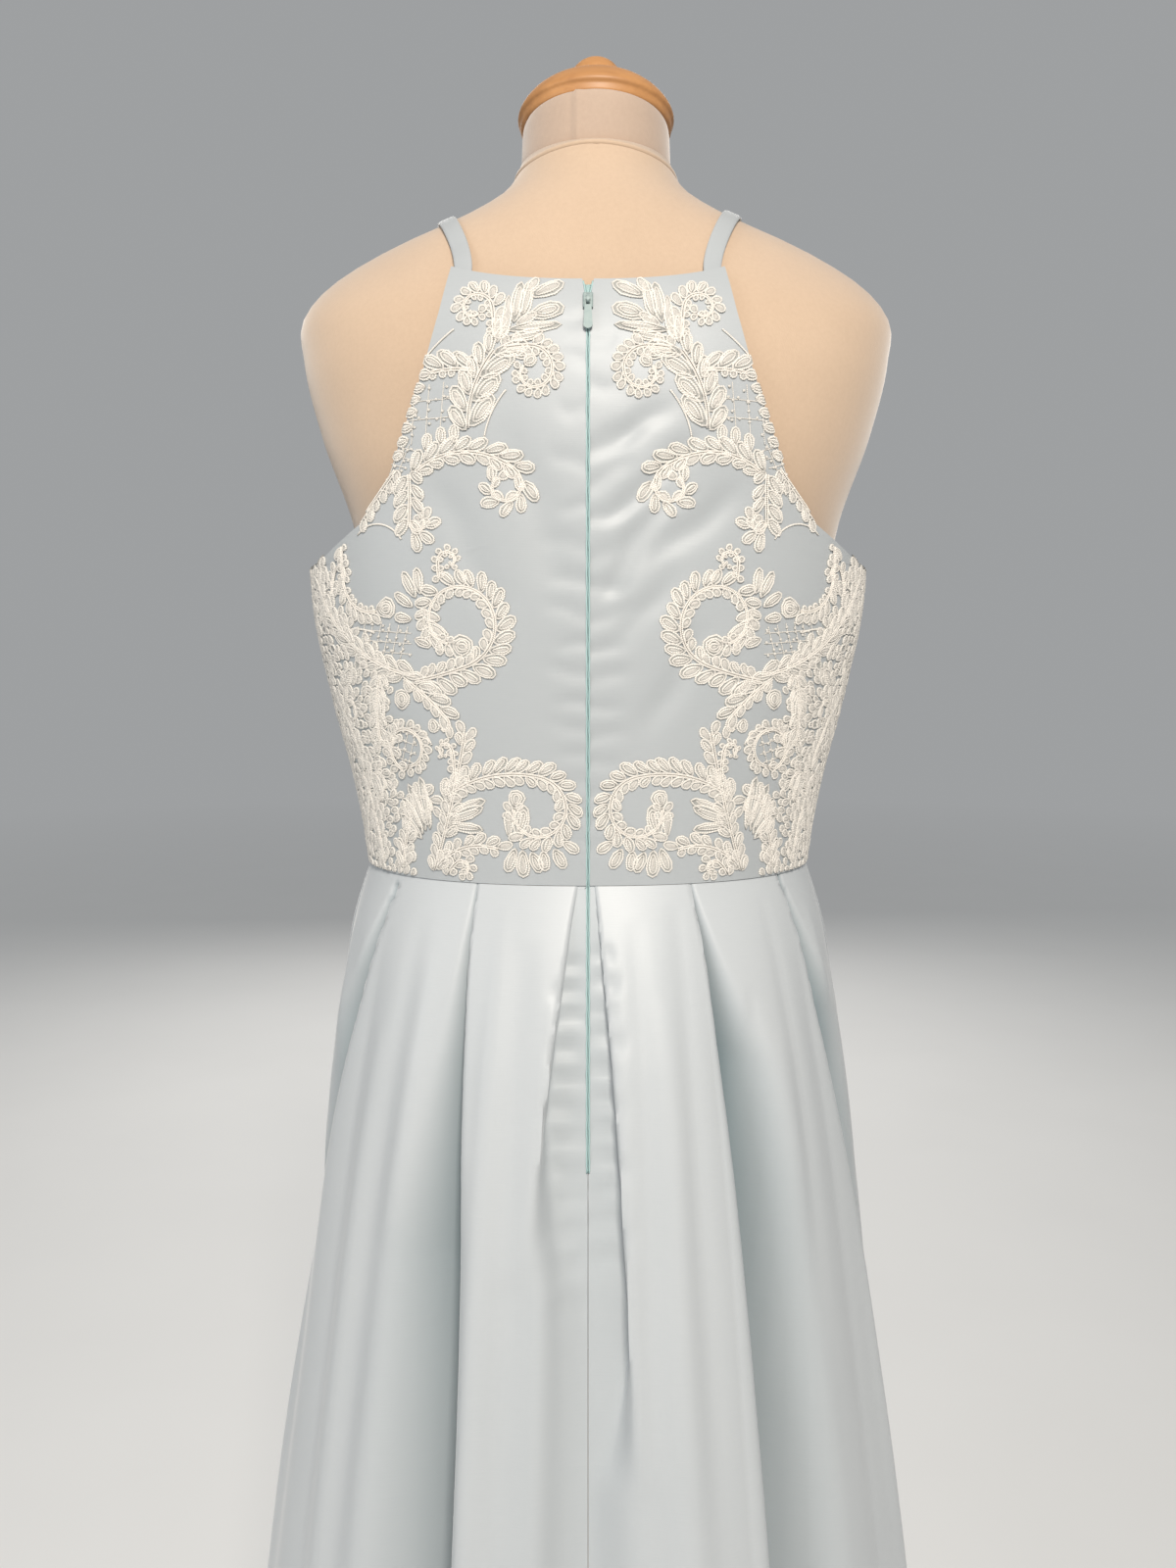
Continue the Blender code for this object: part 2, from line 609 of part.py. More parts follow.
def strap_run(side):
    """The strap's middle line on the form's skin, with the skin's normal and the height at each point."""
    crest = np.interp(-STRAP_TOP_X, -FORM["half_width"][10:], FORM["height"][10:])
    halves = []
    ends = ((STRAP_BACK_HEIGHT, STRAP_BACK_X, False), (STRAP_FRONT_HEIGHT, STRAP_FRONT_X, True))
    for low, end_x, front in ends:
        height = low + (crest + 0.02 - low) * np.linspace(0, 1, 400)
        share = np.clip((height - low - 0.008) / (crest - low - 0.008), 0, 1)
        x = side * (end_x + (STRAP_TOP_X - end_x) * share**1.5) + DRESS_SHIFT
        keep = smooth(height, FORM["height"], FORM["half_width"]) > np.abs(x)
        x, height = x[keep], height[keep]
        halves.append(np.stack([x, skin_y(x, height, front), height], axis=-1))
    line = np.concatenate([halves[0], halves[1][::-1]])
    run = np.append(0, np.cumsum(np.linalg.norm(np.diff(line, axis=0), axis=1)))
    at = np.linspace(0, run[-1], STRAP_STEPS + 1)
    line = np.stack([np.interp(at, run, line[:, k]) for k in range(3)], axis=-1)
    small = 1e-4
    lean = [form_level(*(line + small * way).T) - form_level(*line.T) for way in np.eye(3)]
    normal = np.stack(lean, axis=-1)
    return line, normal / np.linalg.norm(normal, axis=1, keepdims=True)


def make_straps():
    """Each strap is a narrow padded band. Its ends run down behind the panels' top corners."""
    half, thick = STRAP_WIDTH / 2, STRAP_THICKNESS
    soft = 0.3 * thick
    outline = (
        (-half, soft), (-half + soft, 0), (half - soft, 0), (half, soft),
        (half, thick - soft), (half - soft, thick), (-half + soft, thick), (-half, thick - soft),
    )
    for name, side in (("strap_left", -1), ("strap_right", 1)):
        line, normal = strap_run(side)
        along = np.gradient(line, axis=0)
        along /= np.linalg.norm(along, axis=1, keepdims=True)
        across = np.cross(along, normal)
        x, y, height = line.T
        lift = np.full(len(line), STRAP_LIFT)
        for front in (False, True):
            phi = phi_of_x(np.abs(x - DRESS_SHIFT), height, front)
            room = np.abs(bodice_point(phi, height)[:, 1] - y) * np.abs(normal[:, 1])
            tucked = np.maximum(room - thick - STRAP_TUCK_GAP, STRAP_LIFT)
            edge = STRAP_EDGE_HEIGHT + (STRAP_FRONT_HEIGHT - STRAP_BACK_HEIGHT) * front
            near = np.clip((edge + 0.012 - height) / 0.012, 0, 1) * ((y < 0) == front)
            lift += (tucked - STRAP_LIFT) * near
        middle = line + normal * lift[:, None] + np.array([-DRESS_SHIFT, 0, WAIST_Z])
        rings = [middle + across * a + normal * out for a, out in outline]
        lofted(name, np.stack(rings, axis=1)[:, ::-1], "satin")


def valley_sizes(drop):
    return smooth(drop, VALLEY["drop"], VALLEY["depth"]), smooth(drop, VALLEY["drop"], VALLEY["width"])


def skirt_quarter(share, drop, front):
    """The inner face of one quarter of the skirt: share runs from the centre line to the side seam.

    The ring gives the place. Each pleat's valley sinks below it as a bell curve, or a trough, whose floor
    leans back under the panel before it. Between two valleys the panel swells a little.
    """
    sizes = [smooth(drop, SKIRT["drop"], SKIRT[n]) for n in SKIRT_COLUMNS[1:]]
    fine = np.linspace(0, math.pi / 2, 181)
    x, y, nx, ny = ring(math.pi - fine if front else fine, *sizes, SKIRT_SQUARENESS)
    run = np.concatenate([[0], np.cumsum(np.hypot(np.diff(x), np.diff(y)))])
    depth, width = valley_sizes(drop)
    at = share * run[-1]
    sink, shift = np.zeros_like(share), np.zeros_like(share)
    for place, deep, wide, lean, flat in zip(*PLEAT.values()):
        bell = np.exp(-(np.abs((at - place * run[-1]) / (width * wide)) ** flat))
        sink += depth * deep * bell
        shift -= depth * deep * lean * bell * (1 - share**12)
    edges = np.append(PLEAT["place"], 2 - PLEAT["place"][-1])
    panel = np.clip(np.searchsorted(edges, share, side="right") - 1, 0, len(edges) - 2)
    part_way = (share - edges[panel]) / (edges[panel + 1] - edges[panel])
    swell = PANEL_BULGE * np.clip(drop / 0.10, 0, 1) * np.sin(math.pi * part_way)
    out = swell - sink
    where = at + shift
    spots = [np.interp(where, run, values) for values in (x, y, nx, ny)]
    size = np.hypot(spots[2], spots[3])
    return spots[0] + spots[2] / size * out, spots[1] + spots[3] / size * out


def quarter_shares():
    """Where the columns of a quarter lie: close together at each valley, wide apart on the panels."""
    near = np.array([0.028, 0.062, 0.100])
    spots = {0.0, 1.0}
    for place in PLEAT["place"]:
        spots |= {float(place), *(place + near), *(place - near)}
    spots |= {float(middle) for middle in (PLEAT["place"][:-1] + PLEAT["place"][1:]) / 2}
    return np.array(sorted(round(s, 4) for s in spots if 0 <= s <= 1))


SKIRT_DROPS = (0.0, 0.020, 0.050, 0.095, 0.150, 0.220, 0.310, 0.410, 0.505, SKIRT_LENGTH)
ZIP_DROPS = SKIRT_DROPS[:6]


def skirt_panel(front):
    """Outer and inner points of a quarter of the skirt, level by level."""
    share = quarter_shares()
    side = -1 if front else 1
    outer, inner = [], []
    for drop in SKIRT_DROPS:
        x, y = skirt_quarter(share, drop, front)
        y[-1] = side * SEAM_GAP / 2
        if not front:
            x[0] = ZIP_RIDGE_HALF + SEAM_GAP if drop < ZIP_END_DROP else SEAM_GAP / 2
        tx, ty = np.gradient(x), np.gradient(y)
        tx[0], ty[0] = 1.0, 0.0
        tx[-1], ty[-1] = 0.0, -side
        size = np.hypot(tx, ty)
        nx, ny = -ty / size * side, tx / size * side
        level = np.full_like(x, WAIST_Z - SEAM_GAP - drop)
        inner.append(np.stack([x, y, level], axis=-1))
        outer.append(np.stack([x + nx * SKIRT_WALL, y + ny * SKIRT_WALL, level], axis=-1))
    return np.array(outer)[::-1], np.array(inner)[::-1]


def zip_line():
    """Heights down the centre back with the inner face's y there, at the walls' own levels."""
    heights = list(np.linspace(0, BACK_TOP_HEIGHT, BACK_ROWS // 2 + 1)[1:])
    backs = [float(bodice_point(np.array(0.0), np.array(height))[1]) for height in heights]
    for drop in ZIP_DROPS:
        x, y = skirt_quarter(np.array([0.0]), drop, False)
        heights.insert(0, -SEAM_GAP - drop)
        backs.insert(0, float(y[0]))
    return np.array(heights), np.array(backs)


def make_zip():
    """The tape with its ridge of teeth, the slider on it, and the pull that swings on its bridge."""
    heights, backs = zip_line()
    levels = heights[(heights > -ZIP_END_DROP) & (heights < ZIP_TOP_HEIGHT)]
    levels = np.concatenate([[-ZIP_END_DROP], levels, [ZIP_TOP_HEIGHT]])
    face = BODICE_WALL + ZIP_PROUD
    rear = -ZIP_TAPE_GAP - ZIP_TAPE_THICKNESS
    outline = (
        (-ZIP_TAPE_HALF, rear), (ZIP_TAPE_HALF, rear), (ZIP_TAPE_HALF, -ZIP_TAPE_GAP),
        (ZIP_RIDGE_HALF, -ZIP_TAPE_GAP), (ZIP_RIDGE_HALF, face),
        (-ZIP_RIDGE_HALF, face), (-ZIP_RIDGE_HALF, -ZIP_TAPE_GAP), (-ZIP_TAPE_HALF, -ZIP_TAPE_GAP),
    )
    y = np.interp(levels, heights, backs)
    rings = [[(x, back + out, WAIST_Z + level) for x, out in outline] for level, back in zip(levels, y)]
    lofted("zip_tape", np.array(rings), "zip_teal")
    top = float(np.interp(SLIDER_HEIGHT, heights, backs)) + face
    make_slider(top)


def box(name, size, centre):
    mesh = bpy.data.meshes.new(name)
    shape = bmesh.new()
    bmesh.ops.create_cube(shape, size=1.0)
    bmesh.ops.scale(shape, vec=size, verts=shape.verts)
    bmesh.ops.translate(shape, vec=centre, verts=shape.verts)
    shape.to_mesh(mesh)
    shape.free()
    return mesh


def make_slider(ridge_y):
    """The slider lies on the teeth, tilted with the cloth, and its bridge holds the pull's cross bar."""
    lift = SEAM_GAP + SLIDER_THICKNESS
    size = (SLIDER_WIDTH, SLIDER_THICKNESS, SLIDER_LENGTH)
    slider = add_object("zip_slider", box("zip_slider", size, (0, -SLIDER_THICKNESS / 2, 0)), "zip_metal")
    slider.location = (0, ridge_y + lift, WAIST_Z + SLIDER_HEIGHT)
    slider.rotation_euler = (SLIDER_TILT, 0, 0)
    bevel = slider.modifiers.new("soft_edges", "BEVEL")
    bevel.width = 0.0004
    bevel.segments = 2
    angles = np.radians(np.linspace(0, 180, 9))
    inner, outer = BRIDGE_HALF_LENGTH - BRIDGE_THICKNESS, BRIDGE_HALF_LENGTH
    root = -0.0008
    rise = BRIDGE_RISE - root
    half = BRIDGE_WIDTH / 2
    rings = []
    for a in angles:
        flat = (abs(math.cos(a)) ** 0.5) * (1 if math.cos(a) >= 0 else -1)
        high = math.sin(a) ** 0.5
        low = (root + rise * high, inner * flat)
        top = (root + (rise + BRIDGE_THICKNESS) * high, outer * flat)
        rings.append([(-half, *low), (half, *low), (half, *top), (-half, *top)])
    bridge = lofted("slider_bridge", np.array(rings), "zip_metal")
    bridge.location = slider.location
    bridge.rotation_euler = slider.rotation_euler
    PARTS.objects.unlink(bridge)
    HELPERS.objects.link(bridge)
    bridge.hide_render = True
    join = slider.modifiers.new("bridge", "BOOLEAN")
    join.operation = "UNION"
    join.object = bridge
    make_pull(slider)


def make_pull(slider):
    """A flat drop on the hinge line under the bridge. Its window leaves the bar that the bridge holds."""
    belly = PULL_LENGTH - PULL_BELLY_HALF
    angles = np.radians(np.linspace(-10, -170, 9))
    drop = [(PULL_TOP_HALF, BAR_HALF), (PULL_TOP_HALF, -PULL_WINDOW_END - 0.001)]
    drop += [(PULL_BELLY_HALF * math.cos(a), -belly + PULL_BELLY_HALF * math.sin(a)) for a in angles]
    drop += [(-PULL_TOP_HALF, -PULL_WINDOW_END - 0.001), (-PULL_TOP_HALF, BAR_HALF)]
    half = PULL_WINDOW_HALF
    window = [(-half, -BAR_HALF), (half, -BAR_HALF), (half, -PULL_WINDOW_END), (-half, -PULL_WINDOW_END)]
    curve = bpy.data.curves.new("zip_pull", "CURVE")
    curve.dimensions = "2D"
    curve.fill_mode = "BOTH"
    curve.extrude = BAR_HALF
    for outline in (drop, window):
        spline = curve.splines.new("POLY")
        spline.points.add(len(outline) - 1)
        for point, (x, y) in zip(spline.points, outline):
            point.co = (x, y, 0, 1)
        spline.use_cyclic_u = True
    pull = add_object("zip_pull", curve, "zip_metal")
    out = np.array([0.0, math.cos(SLIDER_TILT), math.sin(SLIDER_TILT)]) * BAR_RISE
    pull.location = np.array(slider.location) + out
    pull.rotation_euler = (math.pi / 2 + PULL_TILT, 0, 0)


def make_skirt():
    """The two back panels, which the zip and the centre back seam part, and the front, cut in one."""
    outer, inner = skirt_panel(False)
    wall("skirt_back_left", mirrored(outer), mirrored(inner), "satin")
    wall("skirt_back_right", outer, inner, "satin", flip=True)
    outer, inner = skirt_panel(True)
    wall("skirt_front", both_halves(outer), both_halves(inner), "satin")


def main():
    for obj in list(bpy.context.scene.objects):
        bpy.data.objects.remove(obj)
    DRESS.location = (DRESS_SHIFT, 0, 0)
    PARTS.objects.link(DRESS)
    make_form()
    make_neck()
    make_stand()
    make_bodice()
    make_straps()
    make_skirt()
    make_zip()


PARTS = bpy.data.collections.new("halter_cocktail_dress")
HELPERS = bpy.data.collections.new("helpers")
for group in (PARTS, HELPERS):
    bpy.context.scene.collection.children.link(group)
DRESS = bpy.data.objects.new("dress", None)
main()
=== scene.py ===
# %% [markdown]
# # A halter cocktail dress on its dress form, seen from behind
# The real dress is pale blue satin. Its bodice has a corded lace of scrolls and leaves sewn over it, and its
# skirt hangs in pleats from the waist seam. It stands on a padded dress form with a wooden neck cap.
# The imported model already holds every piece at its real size. This script gives each one its fine surface and
# its finish, and leaves the sizes alone.

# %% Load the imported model
import math

import bpy
import numpy as np
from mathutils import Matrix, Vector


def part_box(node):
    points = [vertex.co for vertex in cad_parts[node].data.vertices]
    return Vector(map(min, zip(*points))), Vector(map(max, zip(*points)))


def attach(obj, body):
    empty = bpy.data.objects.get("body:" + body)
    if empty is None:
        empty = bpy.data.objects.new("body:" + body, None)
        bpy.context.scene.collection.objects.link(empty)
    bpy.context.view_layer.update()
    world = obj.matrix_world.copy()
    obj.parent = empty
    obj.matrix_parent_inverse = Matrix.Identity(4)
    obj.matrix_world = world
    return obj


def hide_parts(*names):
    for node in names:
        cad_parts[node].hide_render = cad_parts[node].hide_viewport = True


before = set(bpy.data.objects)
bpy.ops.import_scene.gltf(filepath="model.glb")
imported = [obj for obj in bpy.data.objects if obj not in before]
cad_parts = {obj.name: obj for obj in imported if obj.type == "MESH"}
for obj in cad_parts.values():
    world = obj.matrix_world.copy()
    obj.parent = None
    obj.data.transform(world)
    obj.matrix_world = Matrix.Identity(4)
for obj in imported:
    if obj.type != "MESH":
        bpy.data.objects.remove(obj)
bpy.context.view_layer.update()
BODY = "dress_on_form"

# %% [markdown]
# ## Camera, light and floor
# The photo looks at the back from about 70 cm, a little above the waist, with a phone's wide lens. A camera
# so close makes the skirt loom and the neck shrink, so its place matters more than its lens. It is set from
# the sizes: the waist seam, the shoulders and the neck cap have to fall where the photo has them. The light
# is a soft panel over the camera, a weak one from the left, a large one high in front, which only the other
# views see lit, and pale surroundings, because satin shows little but what it reflects.

# %% Camera, light and floor
CAMERA_PLACE = (0.005, 0.785, 1.131)
CAMERA_PITCH = math.radians(-6.0)
CAMERA_LENS = 27.2
CAMERA_SENSOR = 36.0
CAMERA_NEAREST = 0.05
STUDIO_GREY = (0.80, 0.82, 0.835)
STUDIO_STRENGTH = 0.43
# A light's name, its place, the point that it lights, its side length, its power in watts and its colour
LIGHTS = (
    ("key_light", (-0.22, 2.1, 2.45), (0, 0, 1.35), 0.7, 72, (1.0, 0.935, 0.855)),
    ("side_light", (2.4, 1.7, 1.8), (0, 0, 1.0), 1.2, 15, (0.94, 0.97, 1.0)),
    ("front_light", (0.2, -3.4, 2.4), (0, 0, 1.0), 2.6, 54, (1.0, 0.97, 0.93)),
)


def put(name, data):
    """A new object in the scene, at the origin."""
    made = bpy.data.objects.new(name, data)
    bpy.context.scene.collection.objects.link(made)
    return made


def make_camera():
    data = bpy.data.cameras.new("camera")
    data.lens = CAMERA_LENS
    data.sensor_width = CAMERA_SENSOR
    data.clip_start = CAMERA_NEAREST
    camera = put("camera", data)
    camera.location = CAMERA_PLACE
    camera.rotation_euler = (math.pi / 2 + CAMERA_PITCH, 0, math.pi)
    bpy.context.scene.camera = camera


def soft_light(name, place, aim, size, power, colour):
    """A square panel of light at a place, turned towards the point that it lights."""
    data = bpy.data.lights.new(name, "AREA")
    data.size = size
    data.energy = power
    data.color = colour
    light = put(name, data)
    way = np.array(aim, float) - np.array(place, float)
    tilt = math.atan2(math.hypot(way[0], way[1]), -way[2])
    light.location = place
    light.rotation_euler = (tilt, 0, math.atan2(way[1], way[0]) - math.pi / 2)


make_camera()
for light_row in LIGHTS:
    soft_light(*light_row)

world = bpy.data.worlds.new("studio")
world.use_nodes = True
world.node_tree.nodes["Background"].inputs["Color"].default_value = (*STUDIO_GREY, 1)
world.node_tree.nodes["Background"].inputs["Strength"].default_value = STUDIO_STRENGTH
bpy.context.scene.world = world
bpy.context.scene.view_settings.view_transform = "Standard"

# %% [markdown]
# ## Curves through tables
# A tailor grades a pattern from a few measurements and joins them with a curved rule. Here each table holds
# those measurements, and `smooth` is the curved rule: cubic pieces that keep each point's mean slope.
# Everything is worked out as whole numpy arrays, so one call shapes a whole panel.

# %% Curves through tables
def columns(names, rows):
    """The table as a dictionary of arrays, one for each column named in the first text."""
    return dict(zip(names.split(), np.array(rows, float).T))


def smooth(at, knots, values):
    """A smooth curve through a table's points: cubic pieces with each point's mean slope."""
    at = np.clip(np.asarray(at, float), knots[0], knots[-1])
    slope = np.gradient(values, knots)
    i = np.clip(np.searchsorted(knots, at) - 1, 0, len(knots) - 2)
    span = knots[i + 1] - knots[i]
    t = (at - knots[i]) / span
    blend = t * t * (3 - 2 * t)
    lead = t * (1 - t) ** 2 * span * slope[i]
    trail = t * t * (t - 1) * span * slope[i + 1]
    return values[i] + (values[i + 1] - values[i]) * blend + lead + trail


def read(table, at):
    """Every further column of a table, read with smooth curves at values of its first column."""
    knots, *rest = table.values()
    return [smooth(at, knots, values) for values in rest]


def along_rows(at, run, values):
    """For each row, the values read where the row's own running length, run, reaches at.

    Each row is shifted by twice its number, so that one interpolation reads them all at once.
    """
    rows = 2.0 * np.arange(run.shape[0])[:, None]
    total = run[:, -1:]
    share = np.clip(at / total, 0, 1)
    return np.interp(share + rows, (run / total + rows).ravel(), values.ravel())


def running_length(x, y):
    """The length along each row of points, from its first point."""
    steps = np.hypot(np.diff(x, axis=-1), np.diff(y, axis=-1))
    return np.concatenate([np.zeros_like(steps[..., :1]), np.cumsum(steps, axis=-1)], axis=-1)


def line_length(line):
    """The length along one line of points, (n, 3), from its first point."""
    return np.append(0, np.cumsum(np.linalg.norm(np.diff(line, axis=0), axis=1)))


def unit(vectors):
    """The vectors with length 1. A vector of length 0 stays as it is."""
    return vectors / np.maximum(np.linalg.norm(vectors, axis=-1, keepdims=True), 1e-12)


def turn_apart(one, other):
    """The angle between two directions, from 0 to half a turn."""
    return np.abs((one - other + math.pi) % (2 * math.pi) - math.pi)


def ring(phi, half_width, back, front, squareness):
    """A rounded section: (x, y) at an angle from the centre back, and its outward normal.

    It is a superellipse: x = half_width * sin^(2/s), y = depth * cos^(2/s), a little squarer than an ellipse.
    """
    power = 2 / squareness
    s, c = np.sin(phi), np.cos(phi)
    depth = np.where(c >= 0, back, front)
    x = half_width * np.sign(s) * np.abs(s) ** power
    y = depth * np.sign(c) * np.abs(c) ** power
    nx = np.sign(s) * np.abs(s) ** (2 - power) / half_width
    ny = np.sign(c) * np.abs(c) ** (2 - power) / depth
    size = np.hypot(nx, ny)
    return x, y, nx / size, ny / size


# %% [markdown]
# ## Putting arrays into meshes
# A grid of points needs no list of faces written by hand: the point numbers form a grid too, and each face is
# four neighbours in it. `Pile` collects many small shapes as arrays and writes them as one mesh, which is far
# quicker than joining hundreds of objects.

# %% Putting arrays into meshes
def grid_faces(rows, cols, start=0, close_rows=False, close_cols=False, flip=False):
    """Four-cornered faces between the points of a grid, closed round where asked."""
    number = start + np.arange(rows * cols).reshape(rows, cols)
    if close_rows:
        number = np.vstack([number, number[:1]])
    if close_cols:
        number = np.hstack([number, number[:, :1]])
    corners = number[:-1, :-1], number[:-1, 1:], number[1:, 1:], number[1:, :-1]
    faces = np.stack(corners, axis=-1).reshape(-1, 4)
    return faces[:, ::-1] if flip else faces


class Pile:
    """Shapes kept as arrays until one mesh is made of them."""

    def __init__(self):
        self.points, self.faces, self.places, self.shades = [], [], [], []
        self.count = 0

    def add(self, points, faces, places=None, shade=None):
        """points is (n, 3); faces is a list of arrays; places are (n, 2) UVs; shade is one number a point."""
        points = np.asarray(points, float).reshape(-1, 3)
        self.points.append(points)
        self.faces += [(np.asarray(f) + self.count, f.shape[1]) for f in faces]
        self.places.append(np.zeros((len(points), 2)) if places is None else np.reshape(places, (-1, 2)))
        self.shades.append(np.zeros(len(points)) if shade is None else np.ravel(shade))
        self.count += len(points)

    def mesh(self, name):
        """One mesh of all shapes, with the places as its UV map and the shades as an attribute."""
        points = np.concatenate(self.points).astype(np.float32)
        corners = np.concatenate([f.ravel() for f, _ in self.faces]).astype(np.int32)
        sides = np.concatenate([np.full(len(f), n) for f, n in self.faces])
        starts = np.concatenate([[0], np.cumsum(sides)[:-1]]).astype(np.int32)
        mesh = bpy.data.meshes.new(name)
        mesh.vertices.add(len(points))
        mesh.vertices.foreach_set("co", points.ravel())
        mesh.loops.add(len(corners))
        mesh.loops.foreach_set("vertex_index", corners)
        mesh.polygons.add(len(sides))
        mesh.polygons.foreach_set("loop_start", starts)
        mesh.update(calc_edges=True)
        layer = mesh.uv_layers.new(name="cloth")
        layer.data.foreach_set("uv", np.concatenate(self.places)[corners].astype(np.float32).ravel())
        shade = mesh.attributes.new("shade", "FLOAT", "POINT")
        shade.data.foreach_set("value", np.concatenate(self.shades).astype(np.float32))
        mesh.shade_smooth()
        return mesh


DRESS_SHIFT = 0.005
TRIANGLES = []


def add_piece(name, pile, material, replaced=(), sharp=None, in_dress=True):
    """Makes the pile an object that rides on the dress's body, has a finish and stands for its CAD nodes.

    The dress hangs a little to one side of the form, so what is in the dress is moved there.
    """
    if in_dress:
        pile.points = [points + np.array([DRESS_SHIFT, 0, 0]) for points in pile.points]
    mesh = pile.mesh(name)
    if sharp:
        mesh.set_sharp_from_angle(angle=math.radians(sharp))
    mesh.materials.append(material)
    piece = put(name, mesh)
    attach(piece, BODY)
    for node in replaced:
        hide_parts(node)
    triangles = sum(len(faces) * (corners - 2) for faces, corners in pile.faces)
    print(f"{name}: {triangles} triangles")
    TRIANGLES.append(triangles)
    return piece


def wall(outer, thickness, flip, places, shade=None):
    """A pile with a closed wall: a grid of outer points, the same grid moved in, and a rim round them.

    The inner point lies one thickness in from the outer one, against the normal, which is the cross product
    of the grid's two directions.
    """
    normal = unit(np.cross(np.gradient(outer, axis=1), np.gradient(outer, axis=0)))
    inner = outer - normal * thickness * (-1 if flip else 1)
    rows, cols = outer.shape[:2]
    count = rows * cols
    number = np.arange(count).reshape(rows, cols)
    edge = np.concatenate([number[0, :-1], number[:-1, -1], number[-1, :0:-1], number[:0:-1, 0]])
    after = np.roll(edge, -1)
    rim = np.stack([edge, edge + count, after + count, after], axis=-1)
    faces = [
        grid_faces(rows, cols, 0, flip=flip),
        grid_faces(rows, cols, count, flip=not flip),
        rim[:, ::-1] if flip else rim,
    ]
    pile = Pile()
    if shade is not None:
        shade = np.concatenate([shade.ravel(), shade.ravel()])
    points = np.concatenate([outer.reshape(-1, 3), inner.reshape(-1, 3)])
    places = places.reshape(-1, 2)
    pile.add(points, faces, np.concatenate([places, places]), shade)
    return pile


def mirrored(points):
    """The points on the other side of the centre line. It serves points in space and places on the cloth."""
    return points * np.array([-1.0, 1.0, 1.0])[: points.shape[-1]]


def with_mirror(half, image):
    """A half panel's grid with its mirror image beside it. The column on the centre line stays single."""
    return np.concatenate([image[:, :0:-1], half], axis=1)


# %% [markdown]
# ## Finishes
# A finish is a colour that wavers a little, a gloss and a fine relief. Satin is smooth and bright along its
# long floating threads, with a fine rib across. Lace cord is wound thread, so its relief is a slanted stripe
# along the cord, which needs the piece's own UV map. Jersey is matt with tiny loops. Beech has stretched
# noise for its grain under a clear varnish. Satin and lace also take painted shade from a shade attribute of
# their meshes: in the pleats' valleys, round each petal's foot and in its hollow.

# %% Finishes
class Finish:
    """A material with its shader, and the nodes of its pattern."""

    def __init__(self, name, roughness, **values):
        self.material = bpy.data.materials.new(name)
        self.material.use_nodes = True
        self.tree = self.material.node_tree
        self.shader = self.tree.nodes["Principled BSDF"]
        self.place = self.node("ShaderNodeTexCoord")
        self.shader.inputs["Roughness"].default_value = roughness
        for key, value in values.items():
            self.shader.inputs[SHADER_INPUTS[key]].default_value = value

    def node(self, kind, **inputs):
        """A shader node whose inputs are set by name, or by i and a number. A socket is linked."""
        made = self.tree.nodes.new(kind)
        for key, value in inputs.items():
            socket = made.inputs[int(key[1:])] if key[0] == "i" and key[1:].isdigit() else made.inputs[key]
            if isinstance(value, bpy.types.NodeSocket):
                self.tree.links.new(value, socket)
            else:
                socket.default_value = value
        return made

    def maths(self, operation, a, b=0.0):
        made = self.node("ShaderNodeMath", i0=a, i1=b)
        made.operation = operation
        return made.outputs[0]

    def blend(self, first, share, second):
        """Two patterns added up, the second with what the first one's share leaves of 1."""
        parts = self.maths("MULTIPLY", first, share), self.maths("MULTIPLY", second, 1 - share)
        return self.maths("ADD", *parts)

    def noise(self, scale, detail=3.0, where="Object"):
        """Noise at object or UV coordinates. Three numbers as the scale stretch it along each of them."""
        place = self.place.outputs[where]
        if isinstance(scale, tuple):
            place = self.node("ShaderNodeMapping", Vector=place, Scale=scale).outputs[0]
            scale = 1.0
        return self.node("ShaderNodeTexNoise", Vector=place, Scale=scale, Detail=detail).outputs["Fac"]

    def shade(self):
        """The attribute of the mesh that says how deep in shade a point lies."""
        made = self.node("ShaderNodeAttribute")
        made.attribute_name = "shade"
        return made.outputs["Fac"]

    def tint(self, share, low, high):
        """A colour between two, by a share from 0 to 1."""
        ramp = self.node("ShaderNodeValToRGB", Fac=share)
        ramp.color_ramp.elements[0].color = (*low, 1)
        ramp.color_ramp.elements[1].color = (*high, 1)
        return ramp.outputs["Color"]

    def paint(self, colour, height, distance, strength):
        """Gives the shader its colour and its relief, and returns the material."""
        bump = self.node("ShaderNodeBump", Height=height, Strength=strength, Distance=distance)
        self.tree.links.new(bump.outputs["Normal"], self.shader.inputs["Normal"])
        self.tree.links.new(colour, self.shader.inputs["Base Color"])
        return self.material


SHADER_INPUTS = {
    "metallic": "Metallic",
    "sheen": "Sheen Weight",
    "sheen_roughness": "Sheen Roughness",
    "specular": "Specular IOR Level",
    "coat": "Coat Weight",
    "coat_roughness": "Coat Roughness",
}
PAINTED_FOLD_SHADE = (0.12, 0.18, 0.20)
CORD_TWIST = 0.0011
FLOOR_SIZE = 60.0
FLOOR_FADE = (2.5, 9.0)


def satin_finish(name, low, high):
    """Smooth and bright, with fine ribs across the threads and a faint unevenness in the dye.

    Deep in a pleat the colour is mixed towards a darker, fuller blue by the mesh's shade attribute: painted
    shade, which stands for the light that has bounced from satin to satin.
    """
    satin = Finish(name, 0.41, sheen=0.25, sheen_roughness=0.35, specular=0.36)
    ribs = satin.noise((90, 2600, 1), 2.0, "UV")
    # Painted shade: the shade attribute mixes the satin's colour towards the dark fold blue
    deep = satin.node("ShaderNodeMix")
    deep.data_type = "RGBA"
    satin.tree.links.new(satin.shade(), deep.inputs["Factor"])
    dyed = satin.tint(satin.blend(ribs, 0.55, satin.noise(9.0)), low, high)
    satin.tree.links.new(dyed, deep.inputs["A"])
    deep.inputs["B"].default_value = (*PAINTED_FOLD_SHADE, 1)
    return satin.paint(deep.outputs["Result"], ribs, 0.00012, 0.35)


